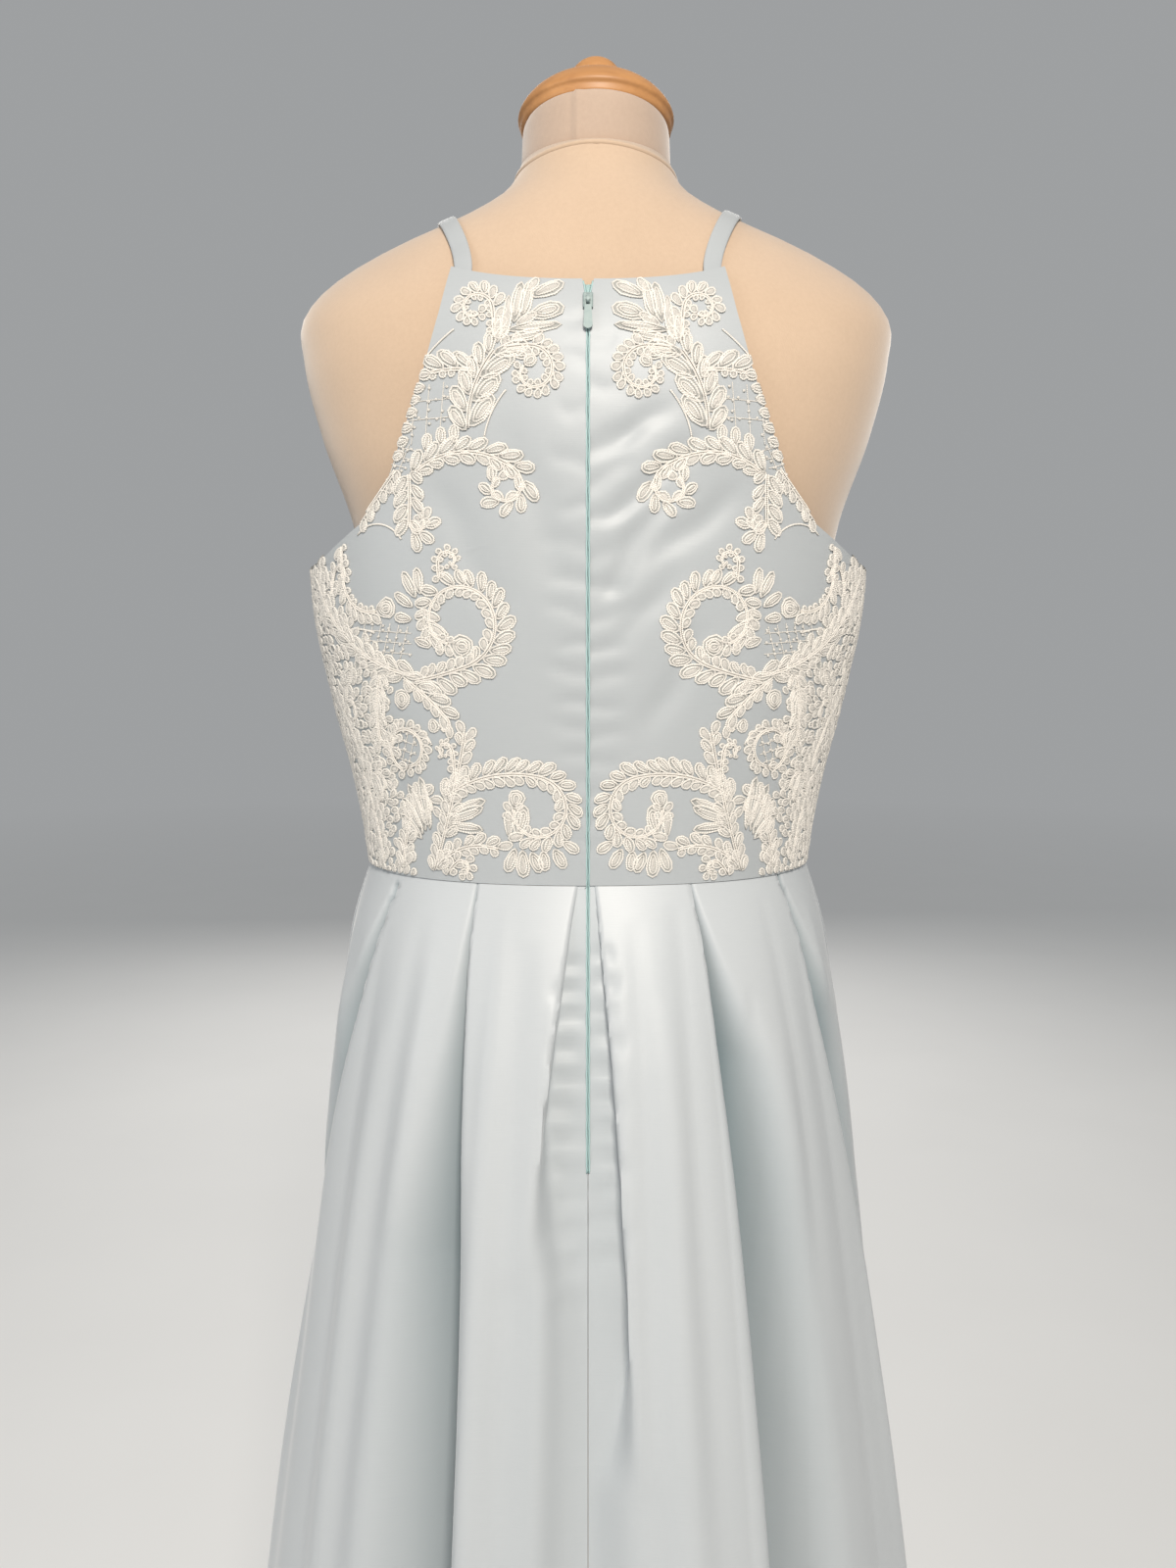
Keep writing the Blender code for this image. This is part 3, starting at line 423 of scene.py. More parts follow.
def lace_finish():
    """Off-white wound cord. Its relief is a slanted stripe.

    The shade attribute mixes in a dark grey-blue: a painted shadow round each petal's foot, and in the
    hollows painted shade together with the net's own grey-blue.
    """
    lace = Finish("lace_cord", 0.55, sheen=0.2)
    split = lace.node("ShaderNodeSeparateXYZ", Vector=lace.place.outputs["UV"])
    along = lace.maths("MULTIPLY", split.outputs[0], 2 * math.pi / CORD_TWIST)
    around = lace.maths("MULTIPLY", split.outputs[1], 2 * math.pi)
    wound = lace.maths("SINE", lace.maths("ADD", along, around))
    mix = lace.maths("ADD", lace.shade(), lace.maths("MULTIPLY", lace.noise(260.0, 2.0), 0.16))
    # The dark grey-blue is painted shade, in the hollows mixed with the net's own colour
    return lace.paint(lace.tint(mix, (0.83, 0.785, 0.72), (0.25, 0.27, 0.265)), wound, 0.00025, 0.6)


def jersey_finish(name, low, high):
    """A fine knit: rows of tiny loops, matt, drawn tight over the padding, in slightly uneven yarn."""
    jersey = Finish(name, 0.85, sheen=0.55)
    mix = jersey.blend(jersey.noise(14.0), 0.55, jersey.noise(420.0, 4.0))
    return jersey.paint(jersey.tint(mix, low, high), jersey.noise((1500, 1500, 900), 2.0), 0.0002, 0.5)


def beech_finish():
    """Turned beech: a warm brown, darker streaks along the grain, small flecks and a clear varnish."""
    beech = Finish("varnished_beech", 0.5, coat=0.05, coat_roughness=0.30)
    mix = beech.blend(beech.noise((22, 160, 160), 6.0), 0.75, beech.noise((120, 900, 900), 2.0))
    return beech.paint(beech.tint(mix, (0.29, 0.128, 0.043), (0.57, 0.285, 0.104)), mix, 0.0002, 0.4)


def woven_finish(name, low, high, roughness, pitch):
    """Tape or thread: a fine twill line."""
    woven = Finish(name, roughness)
    lines = woven.noise((1 / pitch, 1 / pitch, 2.5 / pitch), 2.0)
    return woven.paint(woven.tint(lines, low, high), lines, 0.00015, 0.5)


def lacquer_finish():
    """Painted zip metal: pale blue enamel, worn a little by fingers."""
    lacquer = Finish("lacquered_metal", 0.5, metallic=0.1, coat=0.08)
    wear = lacquer.noise(420.0)
    return lacquer.paint(lacquer.tint(wear, (0.17, 0.235, 0.235), (0.27, 0.325, 0.315)), wear, 0.00005, 0.4)


def floor_finish():
    """A pale painted floor, which fades into the surroundings' grey from 2.5 m to 9 m out: no edge shows."""
    floor = Finish("studio_floor", 0.7)
    painted = floor.tint(floor.noise(3.0), (0.76, 0.76, 0.75), (0.80, 0.80, 0.79))
    floor.tree.links.new(painted, floor.shader.inputs["Base Color"])
    far = floor.node("ShaderNodeVectorMath", i0=floor.place.outputs["Object"])
    far.operation = "LENGTH"
    fade = floor.node("ShaderNodeMapRange", Value=far.outputs["Value"])
    fade.inputs["From Min"].default_value, fade.inputs["From Max"].default_value = FLOOR_FADE
    glow = floor.node("ShaderNodeEmission", Color=(*STUDIO_GREY, 1), Strength=STUDIO_STRENGTH)
    shaders = floor.shader.outputs[0], glow.outputs[0]
    mix = floor.node("ShaderNodeMixShader", Fac=fade.outputs[0], i1=shaders[0], i2=shaders[1])
    floor.tree.links.new(mix.outputs[0], floor.tree.nodes["Material Output"].inputs["Surface"])
    return floor.material


def make_floor():
    half = FLOOR_SIZE / 2
    mesh = bpy.data.meshes.new("floor")
    corners = [(x * half, y * half, 0) for x, y in ((-1, -1), (1, -1), (1, 1), (-1, 1))]
    mesh.from_pydata(corners, [], [(0, 1, 2, 3)])
    mesh.materials.append(floor_finish())
    floor = put("floor", mesh)


SATIN = satin_finish("bodice_satin", (0.352, 0.378, 0.391), (0.403, 0.422, 0.434))
SKIRT_SATIN = satin_finish("skirt_satin", (0.432, 0.461, 0.480), (0.494, 0.514, 0.528))
LACE = lace_finish()
JERSEY = jersey_finish("jersey_knit", (0.435, 0.312, 0.214), (0.565, 0.420, 0.296))
NECK_JERSEY = jersey_finish("neck_knit", (0.37, 0.272, 0.205), (0.480, 0.360, 0.275))
BEECH = beech_finish()
ZIP_TAPE = woven_finish("zip_tape_teal", (0.27, 0.42, 0.42), (0.41, 0.55, 0.54), 0.6, 0.0006)
ZIP_COIL = woven_finish("zip_coil", (0.34, 0.50, 0.49), (0.52, 0.66, 0.64), 0.35, 0.0005)
LACQUER = lacquer_finish()
make_floor()

# %% [markdown]
# ## The dress form
# The real form is foam under a knitted jersey cover, which is cut in panels and sewn over it. The torso is
# one stack of rounded sections with two soft mounds at the bust, so it is a function of an angle and a
# height. The cover's seams are thin grooves with a slightly raised edge, pressed into the same surface.

# %% Shape of the dress form
WAIST_Z = 1.000
FORM = columns("height half_width back front squareness", (
    (-0.280, 0.1500, 0.1080, 0.0950, 2.3),
    (-0.200, 0.1540, 0.1120, 0.0970, 2.3),
    (-0.100, 0.1450, 0.1030, 0.0950, 2.2),
    (0.000, 0.1300, 0.0920, 0.0880, 2.2),
    (0.050, 0.1310, 0.0920, 0.0900, 2.2),
    (0.100, 0.1370, 0.0960, 0.0980, 2.2),
    (0.160, 0.1480, 0.1010, 0.1120, 2.2),
    (0.215, 0.1555, 0.1045, 0.1200, 2.2),
    (0.270, 0.1740, 0.1055, 0.1080, 2.3),
    (0.315, 0.1840, 0.1010, 0.0890, 2.4),
    (0.340, 0.1850, 0.0940, 0.0770, 2.3),
    (0.360, 0.1700, 0.0860, 0.0680, 2.1),
    (0.380, 0.1370, 0.0780, 0.0600, 2.0),
    (0.400, 0.0890, 0.0690, 0.0540, 2.0),
    (0.4136, 0.0640, 0.0620, 0.0520, 2.0),
    (0.425, 0.0530, 0.0565, 0.0500, 2.0),
    (0.436, 0.0480, 0.0530, 0.0480, 2.0),
))
BUST_X = 0.078
BUST_HEIGHT = 0.195
BUST_RISE = 0.016
BUST_SPREAD_X = 0.042
BUST_SPREAD_Z = 0.050
BUST_FADE = 0.06
FORM_FLOOR_HEIGHT = -0.290
NECK_SEAM_HEIGHT = 0.436
NECK_TOP_HEIGHT = 0.459
NECK_RADIUS = 0.0470
NECK_DEPTH = 0.0500
NECK_TILT = math.radians(7)
SEAM_GAP = 0.0003


def bust(x, y, height):
    """How far the two bust mounds push the front forward: a bell curve in x and another in height."""
    across = np.exp(-(((np.abs(x) - BUST_X) / BUST_SPREAD_X) ** 2))
    up = np.exp(-(((height - BUST_HEIGHT) / BUST_SPREAD_Z) ** 2))
    return BUST_RISE * across * up * np.clip(-y / BUST_FADE, 0, 1)


def section_point(sizes, phi, height, out):
    """A point on a section of the given sizes, or out from it along its normal, with the bust's mounds."""
    x, y, nx, ny = ring(phi, *sizes)
    y = y - bust(x, y, height)
    return np.stack([x + nx * out, y + ny * out, WAIST_Z + height + 0 * x], axis=-1)


def form_sizes(height):
    """The form's section at a height: half its width, its depth to the back and the front, its squareness."""
    return read(FORM, height)


def form_point(phi, height, out=0.0):
    """A point of the form's skin, or out from it."""
    return section_point(form_sizes(height), phi, height, out)


def closed_tower(rings, places=None):
    """A pile with a solid through closed rings of points, bottom first, each end closed by a fan."""
    rows, around = rings.shape[:2]
    count = rows * around
    ends = np.array([rings[0].mean(axis=0), rings[-1].mean(axis=0)])
    first = np.arange(around)
    last = first + count - around
    faces = [
        grid_faces(rows, around, close_cols=True),
        np.stack([np.full(around, count), np.roll(first, -1), first], axis=-1),
        np.stack([np.full(around, count + 1), last, np.roll(last, -1)], axis=-1),
    ]
    pile = Pile()
    if places is not None:
        places = np.concatenate([places.reshape(-1, 2), np.zeros((2, 2))])
    pile.add(np.concatenate([rings.reshape(-1, 3), ends]), faces, places)
    return pile


FORM_AROUND = 120
FORM_ROWS = 100
FORM_FOOT_RADIUS = 0.012
FORM_FOOT_TUCK = 0.85
COVER_SEAM_WIDTH = 0.0011
COVER_SEAM_DEPTH = 0.0006
# The cover's seams: the angle from the centre back, and the share of the full depth
COVER_SEAMS = ((0.0, 0.6), (0.5 * math.pi, 1.0), (math.pi, 0.6), (1.5 * math.pi, 1.0))


def make_torso():
    """The torso from the rounded foot to the neck seam.

    Its foot is tucked in like a quarter circle, 1 - sqrt(1 - s^2). Each of the cover's seams is a groove
    whose section is a bell curve.
    """
    phi = np.linspace(0, -2 * math.pi, FORM_AROUND, endpoint=False)[None, :]
    share = np.linspace(0, 1, FORM_ROWS)[:, None]
    height = FORM_FLOOR_HEIGHT + (NECK_SEAM_HEIGHT - SEAM_GAP - FORM_FLOOR_HEIGHT) * share
    foot = np.clip(1 - (height - FORM_FLOOR_HEIGHT) / FORM_FOOT_RADIUS, 0, 1)
    tuck = FORM_FOOT_RADIUS * (1 - np.sqrt(1 - foot**2)) * FORM_FOOT_TUCK
    half_width = smooth(height, FORM["height"], FORM["half_width"])
    seam = 0
    for angle, deep in COVER_SEAMS:
        away = turn_apart(-phi, angle) * half_width
        seam = seam + np.exp(-((away / COVER_SEAM_WIDTH) ** 2)) * deep
    points = form_point(phi + 0 * height, height + 0 * phi, -tuck - COVER_SEAM_DEPTH * seam)
    pile = closed_tower(points)
    torso = add_piece("form_torso_cover", pile, JERSEY, ["form_torso"], in_dress=False)


make_torso()

# %% [markdown]
# ## The neck, its cap and the stand
# The neck is a short tube of the same jersey with one upright seam, and a bulging ring seam joins it to the
# torso. A turned wooden cap lies on it at a slant, because necks lean forward. The cap, its knob and the
# stand are turned on a lathe: a profile carried round an axis.

# %% Neck, cap and stand
NECK_SEAM_ANGLE = math.radians(14)
NECK_ROWS = 28
NECK_TAPER = 0.001
NECK_ROLL = 0.0006
LAP_RISE = 0.0016
LAP_HALF = 0.0019
LAP_GROOVE = 0.0005
LAP_GROOVE_PLACE = 0.0028
LAP_GROOVE_HALF = 0.0007
PIPING_RADIUS = 0.0017
PIPING_DROP = 0.0026
PIPING_DIP = 0.0045
PIPING_SUNK = 0.0007
# Profiles of turned wood, bottom first: radius and height
CAP_PROFILE = (
    (0.0458, 0.0000), (0.0468, 0.0004), (0.0473, 0.0014), (0.0475, 0.0050), (0.0477, 0.0056),
    (0.0486, 0.0059), (0.0490, 0.0067), (0.0490, 0.0080), (0.0482, 0.0102), (0.0464, 0.0130),
    (0.0436, 0.0163), (0.0396, 0.0198), (0.0346, 0.0232), (0.0288, 0.0261), (0.0226, 0.0283),
    (0.0160, 0.0296), (0.0090, 0.0300),
)
KNOB_PROFILE = (
    (0.0171, 0.0000), (0.0175, 0.0012), (0.0172, 0.0034), (0.0163, 0.0062), (0.0148, 0.0092),
    (0.0126, 0.0118), (0.0099, 0.0139), (0.0067, 0.0154), (0.0033, 0.0160),
)
BASE_PROFILE = (
    (0.1980, 0.0000), (0.1995, 0.0006), (0.2000, 0.0020), (0.2000, 0.0155), (0.1985, 0.0200),
    (0.1950, 0.0225), (0.1900, 0.0238), (0.1700, 0.0250), (0.1300, 0.0270), (0.0900, 0.0288),
    (0.0600, 0.0298), (0.0400, 0.0300),
)
COLLAR_PROFILE = (
    (0.0360, 0.0000), (0.0360, 0.0040), (0.0345, 0.0058), (0.0300, 0.0080), (0.0280, 0.0118),
    (0.0250, 0.0180), (0.0226, 0.0240), (0.0220, 0.0280), (0.0215, 0.0310), (0.0190, 0.0342),
    (0.0180, 0.0350), (0.0150, 0.0350),
)
CAP_HEIGHT = 0.0300
POLE_BEVEL = 0.0006
POLE_MIDDLE = 0.03


def make_neck():
    """The neck's wall between the level seam and the slanted cap, with an overlapped upright seam.

    The lap is a flat-topped bell curve, exp(-a^4), with a narrow groove beside it, exp(-a^2). Both ends of
    the wall are rolled in a little.
    """
    phi = np.linspace(0, 2 * math.pi, FORM_AROUND, endpoint=False)[None, :]
    share = np.linspace(0, 1, NECK_ROWS)[:, None]
    away = turn_apart(phi, NECK_SEAM_ANGLE) * NECK_RADIUS
    groove = LAP_GROOVE * np.exp(-(((away - LAP_GROOVE_PLACE) / LAP_GROOVE_HALF) ** 2))
    lap = LAP_RISE * np.exp(-((away / LAP_HALF) ** 4)) - groove
    x, y, nx, ny = ring(phi, NECK_RADIUS - NECK_TAPER * share, NECK_DEPTH, NECK_DEPTH - 0.002, 2.0)
    low = WAIST_Z + NECK_SEAM_HEIGHT
    high = WAIST_Z + NECK_TOP_HEIGHT - SEAM_GAP + y * math.tan(NECK_TILT)
    out = lap - NECK_ROLL * (2 * np.abs(share - 0.5)) ** 6
    points = np.stack([x + nx * out, y + ny * out, low + (high - low) * share], axis=-1)
    pile = closed_tower(points[:, ::-1])
    neck = add_piece("form_neck_cover", pile, NECK_JERSEY, ["form_neck"], in_dress=False)


def tube(line, radius, sides, normal, closed=False):
    """Points, faces and places of a tube along a line: a circle carried along it, square to its tangent.

    The line is (n, 3), and the circle's first direction is square to the given normal too. An open tube is
    closed at both ends by one face.
    """
    if closed:
        along = np.roll(line, -1, axis=0) - np.roll(line, 1, axis=0)
    else:
        along = np.gradient(line, axis=0)
    along = unit(along)
    side = unit(np.cross(normal, along))
    up = np.cross(along, side)
    angle = np.linspace(0, 2 * math.pi, sides, endpoint=False)
    circle = side[:, None] * np.cos(angle)[None, :, None] + up[:, None] * np.sin(angle)[None, :, None]
    faces = [grid_faces(len(line), sides, close_rows=closed, close_cols=True)]
    if not closed:
        ends = np.arange(sides)[None, :]
        faces += [ends[:, ::-1], ends + (len(line) - 1) * sides]
    places = np.stack(np.broadcast_arrays(line_length(line)[:, None], angle / (2 * math.pi)), axis=-1)
    return line[:, None] + circle * radius, faces, places


def make_neck_seam():
    """The bulging seam between torso and neck: a piping round the torso's skin, lower at both sides."""
    phi = np.linspace(0, 2 * math.pi, 240, endpoint=False)
    uneven = 0.0002 * np.sin(5 * phi + 1)
    height = NECK_SEAM_HEIGHT - PIPING_DROP - PIPING_DIP * np.sin(phi) ** 2 + uneven
    line = form_point(phi, height, -PIPING_SUNK)
    pile = Pile()
    pile.add(*tube(line, PIPING_RADIUS, 8, form_point(phi, height, 0.01) - line, True))
    add_piece("form_neck_piping", pile, JERSEY, in_dress=False)


def turned(profile, base, tilt=0.0, around=80):
    """A turned pile: a profile of (radius, height) points, bottom first, round a slanted axis at its base.

    Four times as many points are read along the profile's running length, and each is softened by its
    neighbours, in the shares 1/4, 1/2, 1/4.
    """
    profile = np.array(profile).T
    run = running_length(*profile)
    at = np.linspace(0, run[-1], 4 * len(run))
    radius, height = (np.interp(at, run, values) for values in profile)
    soft = np.array([0.25, 0.5, 0.25])
    radius[1:-1] = np.convolve(radius, soft, "valid")
    height[1:-1] = np.convolve(height, soft, "valid")
    phi = np.linspace(0, 2 * math.pi, around, endpoint=False)
    x = radius[:, None] * np.cos(phi)
    y = radius[:, None] * np.sin(phi)
    z = height[:, None] + 0 * x
    cos, sin = math.cos(tilt), math.sin(tilt)
    slanted = np.stack([x, y * cos - z * sin, y * sin + z * cos], axis=-1)
    return closed_tower(slanted + np.array(base))


def make_turned():
    """The cap and its knob on the slanted neck, and the stand on the floor, each on the CAD piece's place."""
    top = np.array([0.0, 0.001, WAIST_Z + NECK_TOP_HEIGHT])
    axis = np.array([0.0, -math.sin(NECK_TILT), math.cos(NECK_TILT)])
    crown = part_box("stand_base")[1].z
    pole_low, pole_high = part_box("stand_pole")
    plate_low, plate_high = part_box("stand_plate")
    thin, wide = pole_high.x, plate_high.x
    length = pole_high.z - pole_low.z
    deep = plate_high.z - plate_low.z
    pole = (
        (thin - POLE_BEVEL, 0.0), (thin, POLE_BEVEL), (thin, POLE_MIDDLE), (thin, length * 0.5),
        (thin, length - POLE_BEVEL), (thin - POLE_BEVEL, length),
    )
    plate = (
        (wide - 0.004, 0.0), (wide - 0.0010, 0.0022), (wide, 0.0036), (wide, deep - 0.0008),
        (wide - 0.0008, deep),
    )
    on_cap = top + axis * (CAP_HEIGHT + SEAM_GAP)
    for name, node_name, profile, place, tilt, around, sharp in (
        ("form_cap", "form_neck_cap", CAP_PROFILE, top, NECK_TILT, 80, 40),
        ("form_knob", "form_neck_knob", KNOB_PROFILE, on_cap, NECK_TILT, 64, 50),
        ("stand_base", "stand_base", BASE_PROFILE, (0, 0, 0), 0, 120, 40),
        ("stand_collar", "stand_collar", COLLAR_PROFILE, (0, 0, crown + SEAM_GAP), 0, 64, 40),
        ("stand_pole", "stand_pole", pole, (0, 0, pole_low.z), 0, 64, 40),
        ("stand_plate", "stand_plate", plate, (0, 0, plate_low.z), 0, 96, 40),
    ):
        pile = turned(profile, place, tilt, around)
        add_piece(f"{name}_turned", pile, BEECH, [node_name], sharp, in_dress=False)


make_neck()
make_neck_seam()
make_turned()

# %% [markdown]
# ## The bodice panels
# Each back panel is cut from flat satin and sewn to the zip, the side and the waist. It keeps the form's
# section, let out by the ease of the cut, up to an armhole edge that slants in to a narrow top. The zip pulls
# the cloth beside it into short soft puckers, never evenly, so each pucker is a row of a table: where it is,
# how it slants, how long, wide and deep it is. A pucker is a trough with a bell-shaped section.

# %% Shape of the bodice
BODICE_WALL = 0.0015
EASE = columns("height side back front", (
    (0.000, 0.0125, 0.0120, 0.0140),
    (0.050, 0.0190, 0.0130, 0.0140),
    (0.100, 0.0255, 0.0110, 0.0120),
    (0.160, 0.0265, 0.0080, 0.0110),
    (0.190, 0.0250, 0.0065, 0.0100),
    (0.240, 0.0150, 0.0050, 0.0080),
    (0.300, 0.0080, 0.0048, 0.0056),
    (0.380, 0.0060, 0.0048, 0.0052),
))
UNDERARM_HEIGHT = 0.184
BACK_ARMHOLE = columns("height across", (
    (0.1900, 0.1640),
    (0.2105, 0.1320),
    (0.2340, 0.1140),
    (0.2610, 0.1035),
    (0.2936, 0.0915),
    (0.3250, 0.0830),
    (0.3520, 0.0770),
))
FRONT_ARMHOLE = columns("height across", (
    (0.1930, 0.1620),
    (0.2120, 0.1380),
    (0.2400, 0.1200),
    (0.2750, 0.1060),
    (0.3100, 0.0950),
    (0.3450, 0.0860),
    (0.3720, 0.0800),
))
BACK_TOP_HEIGHT = 0.342
FRONT_TOP_HEIGHT = 0.360
SIDE_SHARE = 0.56
ZIP_RIDGE_HALF = 0.0008
ZIP_OPEN_HALF = 0.0022
SLIDER_HEIGHT = 0.3290


def bodice_sizes(height):
    """The form's section at a height, let out by the ease of the cut."""
    half_width, back, front, squareness = form_sizes(height)
    side, rear, fore = read(EASE, height)
    return half_width + side, back + rear, front + fore, squareness


def bodice_point(phi, height, out=0.0):
    """A point of the bodice's inner face, or out from it."""
    return section_point(bodice_sizes(height), phi, height, out)


def phi_of_x(x, height, front=False):
    """The angle at which the bodice's section reaches a distance from the centre line."""
    half_width, _, _, squareness = bodice_sizes(height)
    phi = np.arcsin(np.clip(x / half_width, 0, 1) ** (squareness / 2))
    return math.pi - phi if front else phi


def phi_of_side(gap, height, front=False):
    """The angle at which the section is half a seam gap short of the side plane."""
    _, back, fore, squareness = bodice_sizes(height)
    phi = np.arccos((gap / np.where(front, fore, back)) ** (squareness / 2))
    return math.pi - phi if front else phi


def zip_open(height):
    """How far the zip has opened: 0 up to the slider, 1 at the neckline."""
    return np.clip((height - SLIDER_HEIGHT) / (BACK_TOP_HEIGHT - SLIDER_HEIGHT), 0, 1)


def zip_gap(height):
    """Half the gap between the back panels: even beside the closed teeth, a V above the slider."""
    return ZIP_RIDGE_HALF + SEAM_GAP + ZIP_OPEN_HALF * zip_open(height)


def no_gap(height):
    return 0 * height


def armhole_line(armhole):
    """The armhole edge from the underarm up: heights, distances from the centre line, and its length."""
    half_width = float(bodice_sizes(np.array(UNDERARM_HEIGHT))[0])
    heights = np.append(UNDERARM_HEIGHT, armhole["height"])
    across = np.append(half_width, armhole["across"])
    return heights, across, running_length(heights, across)


def panel_grid(rows, cols, armhole, top_height, front, inset):
    """Angles and heights over a bodice panel, from its centre line, or beside it, to its side edge.

    The row number climbs the side seam first and then the armhole edge. Across a row the height runs from the
    centre's to the edge's with the square of the column number, so that the waist and the top stay straight
    near the centre.
    """
    v = np.linspace(0, 1, rows + 1)
    heights, across, run = armhole_line(armhole)
    reach = np.clip((v - SIDE_SHARE) / (1 - SIDE_SHARE), 0, 1) * run[-1]
    on_side = v <= SIDE_SHARE + 1e-9
    edge_height = np.where(on_side, UNDERARM_HEIGHT * v / SIDE_SHARE, np.interp(reach, run, heights))
    side_phi = phi_of_side(SEAM_GAP / 2, edge_height, front)
    edge_phi = np.where(on_side, side_phi, phi_of_x(np.interp(reach, run, across), edge_height, front))
    centre_height = top_height * v
    start_phi = phi_of_x(inset(centre_height), centre_height, front)
    u = np.linspace(0, 1, cols + 1)[None, :]
    phi = start_phi[:, None] + (edge_phi - start_phi)[:, None] * u
    height = centre_height[:, None] + (edge_height - centre_height)[:, None] * u**2
    return phi, height


# %% The flat cloth of a bodice half
CHART_ROWS = 190
CHART_COLS = 240
CHART_TOP = 0.375


class Chart:
    """The flat cloth of one half of the bodice, from its centre line to its side seam.

    across is the distance along the cloth at one height. The tables hold, on an even grid of height and share
    of the way to the side seam, the angle round the section, so that any place on the cloth becomes a point.
    """

    def __init__(self, front, armhole, top_height):
        self.front = front
        self.heights = np.linspace(0, CHART_TOP, CHART_ROWS)
        quarter = np.linspace(0, math.pi / 2, CHART_COLS) + 0 * self.heights[:, None]
        phi = math.pi - quarter if front else quarter
        sizes = [size[:, None] for size in bodice_sizes(self.heights)]
        x, y, _, _ = ring(phi, *sizes)
        y = y - bust(x, y, self.heights[:, None])
        run = running_length(x, y)
        self.total = run[:, -1]
        even = np.linspace(0, 1, CHART_COLS)[None, :] * run[:, -1:]
        self.phi = along_rows(even, run, phi)
        heights, across, _ = armhole_line(armhole)
        edge_phi = phi_of_x(across, heights, front)
        edge_run = self.across_of(edge_phi, heights, run, phi)
        self.edge_heights = np.concatenate([[0, UNDERARM_HEIGHT - 0.001], heights])
        low = np.interp([0, UNDERARM_HEIGHT - 0.001], self.heights, self.total)
        self.edge_across = np.concatenate([low, edge_run])
        self.top_height = top_height

    def across_of(self, phi, height, run, grid):
        """How far along the cloth each of a few angles lies, at its own height."""
        row = np.clip(np.searchsorted(self.heights, height), 0, CHART_ROWS - 1)
        order = -1 if self.front else 1
        return np.array([np.interp(p, grid[r, ::order], run[r, ::order]) for p, r in zip(phi, row)])

    def edge(self, height):
        """How far across the cloth reaches at a height: to the side seam, or to the armhole edge."""
        return np.interp(height, self.edge_heights, self.edge_across)

    def top(self, across):
        """The height of the top edge, which rises a little towards its corner."""
        corner = self.edge_across[-1]
        rise = self.edge_heights[-1] - self.top_height
        return self.top_height + rise * np.clip(across / corner, 0, 1) ** 2

    def angle(self, across, height):
        """The angle round the section at a place on the cloth, read between the table's four nearest."""
        row = np.clip(height / CHART_TOP, 0, 1) * (CHART_ROWS - 1)
        total = np.interp(height, self.heights, self.total)
        col = np.clip(across / total, 0, 1) * (CHART_COLS - 1)
        r = np.minimum(row.astype(int), CHART_ROWS - 2)
        c = np.minimum(col.astype(int), CHART_COLS - 2)
        fr, fc = row - r, col - c
        low = self.phi[r, c] * (1 - fc) + self.phi[r, c + 1] * fc
        high = self.phi[r + 1, c] * (1 - fc) + self.phi[r + 1, c + 1] * fc
        return low * (1 - fr) + high * fr

    def point(self, across, height, out, side):
        """The point on the cloth's outer face, or out from it, on the right side (1) or the left (-1)."""
        made = bodice_point(self.angle(across, height), height, BODICE_WALL + out)
        return made * np.array([side, 1.0, 1.0])


BACK_CHART = Chart(False, BACK_ARMHOLE, BACK_TOP_HEIGHT)
FRONT_CHART = Chart(True, FRONT_ARMHOLE, FRONT_TOP_HEIGHT)

# %% Bodice panels with their puckers
MM = 0.001
# LEFT and RIGHT in the names of tables are the photo's sides. A piece's left and right are those seen from
# the front, which are the other way round.
# Columns: across, height, slant in degrees, length, width, depth; all but the slant in millimetres
LEFT_PUCKERS = (
    (6, 318, -8, 9, 3.5, 0.54), (8, 297, 12, 12, 4.5, 0.62), (7, 268, -5, 10, 5.0, 0.54),
    (9, 241, 18, 14, 5.0, 0.70), (6, 216, -12, 11, 4.0, 0.85), (10, 196, 14, 15, 5.0, 0.78),
    (7, 176, 4, 13, 4.5, 1.01), (9, 158, 20, 16, 4.5, 0.93), (6, 140, -6, 12, 4.0, 1.16),
    (8, 124, 10, 15, 4.5, 1.08), (6, 107, -3, 12, 4.0, 1.16), (8, 92, 12, 14, 4.5, 1.01),
    (6, 77, 2, 11, 4.0, 0.93), (7, 61, -8, 12, 4.0, 0.78), (6, 44, 6, 10, 4.0, 0.70),
    (6, 26, -4, 9, 4.0, 0.54), (70, 195, 64, 40, 9.0, 1.9), (30, 215, 70, 45, 11.0, 1.5),
    (120, 60, 72, 30, 9.0, 0.78),
)
RIGHT_PUCKERS = (
    (6, 305, 10, 10, 4.0, 0.54), (8, 281, -6, 12, 5.0, 0.62), (10, 252, 24, 20, 6.0, 1.01),
    (8, 232, 30, 18, 5.0, 0.93), (9, 211, 14, 16, 4.5, 1.01), (12, 192, 36, 22, 6.0, 1.08),
    (7, 172, -4, 14, 4.5, 1.16), (10, 155, 22, 18, 4.5, 1.01), (6, 137, 6, 13, 4.0, 1.24),
    (9, 121, 16, 16, 4.5, 1.08), (6, 104, -6, 13, 4.0, 1.16), (8, 88, 8, 14, 4.5, 1.08),
    (6, 72, -2, 12, 4.0, 0.93), (7, 55, 10, 12, 4.0, 0.85), (6, 38, -6, 10, 4.0, 0.70),
    (6, 22, 4, 9, 4.0, 0.54), (38, 232, 42, 32, 6.0, 2.5), (28, 196, 58, 38, 6.5, 2.4),
    (60, 205, 36, 34, 7.5, 2.2), (50, 118, 60, 34, 8.0, 1.9), (26, 258, 34, 24, 6.0, 1.7),
    (34, 160, 50, 26, 6.5, 1.7),
)
FRONT_CREASES = (
    (40, 120, 74, 50, 12.0, 1.17), (85, 90, 58, 46, 11.0, 1.04), (120, 150, 30, 40, 10.0, 1.17),
    (30, 262, 66, 40, 10.0, 0.91), (70, 300, 62, 34, 9.0, 0.78), (15, 30, 84, 30, 10.0, 0.65),
    (150, 60, 70, 40, 10.0, 0.91),
)


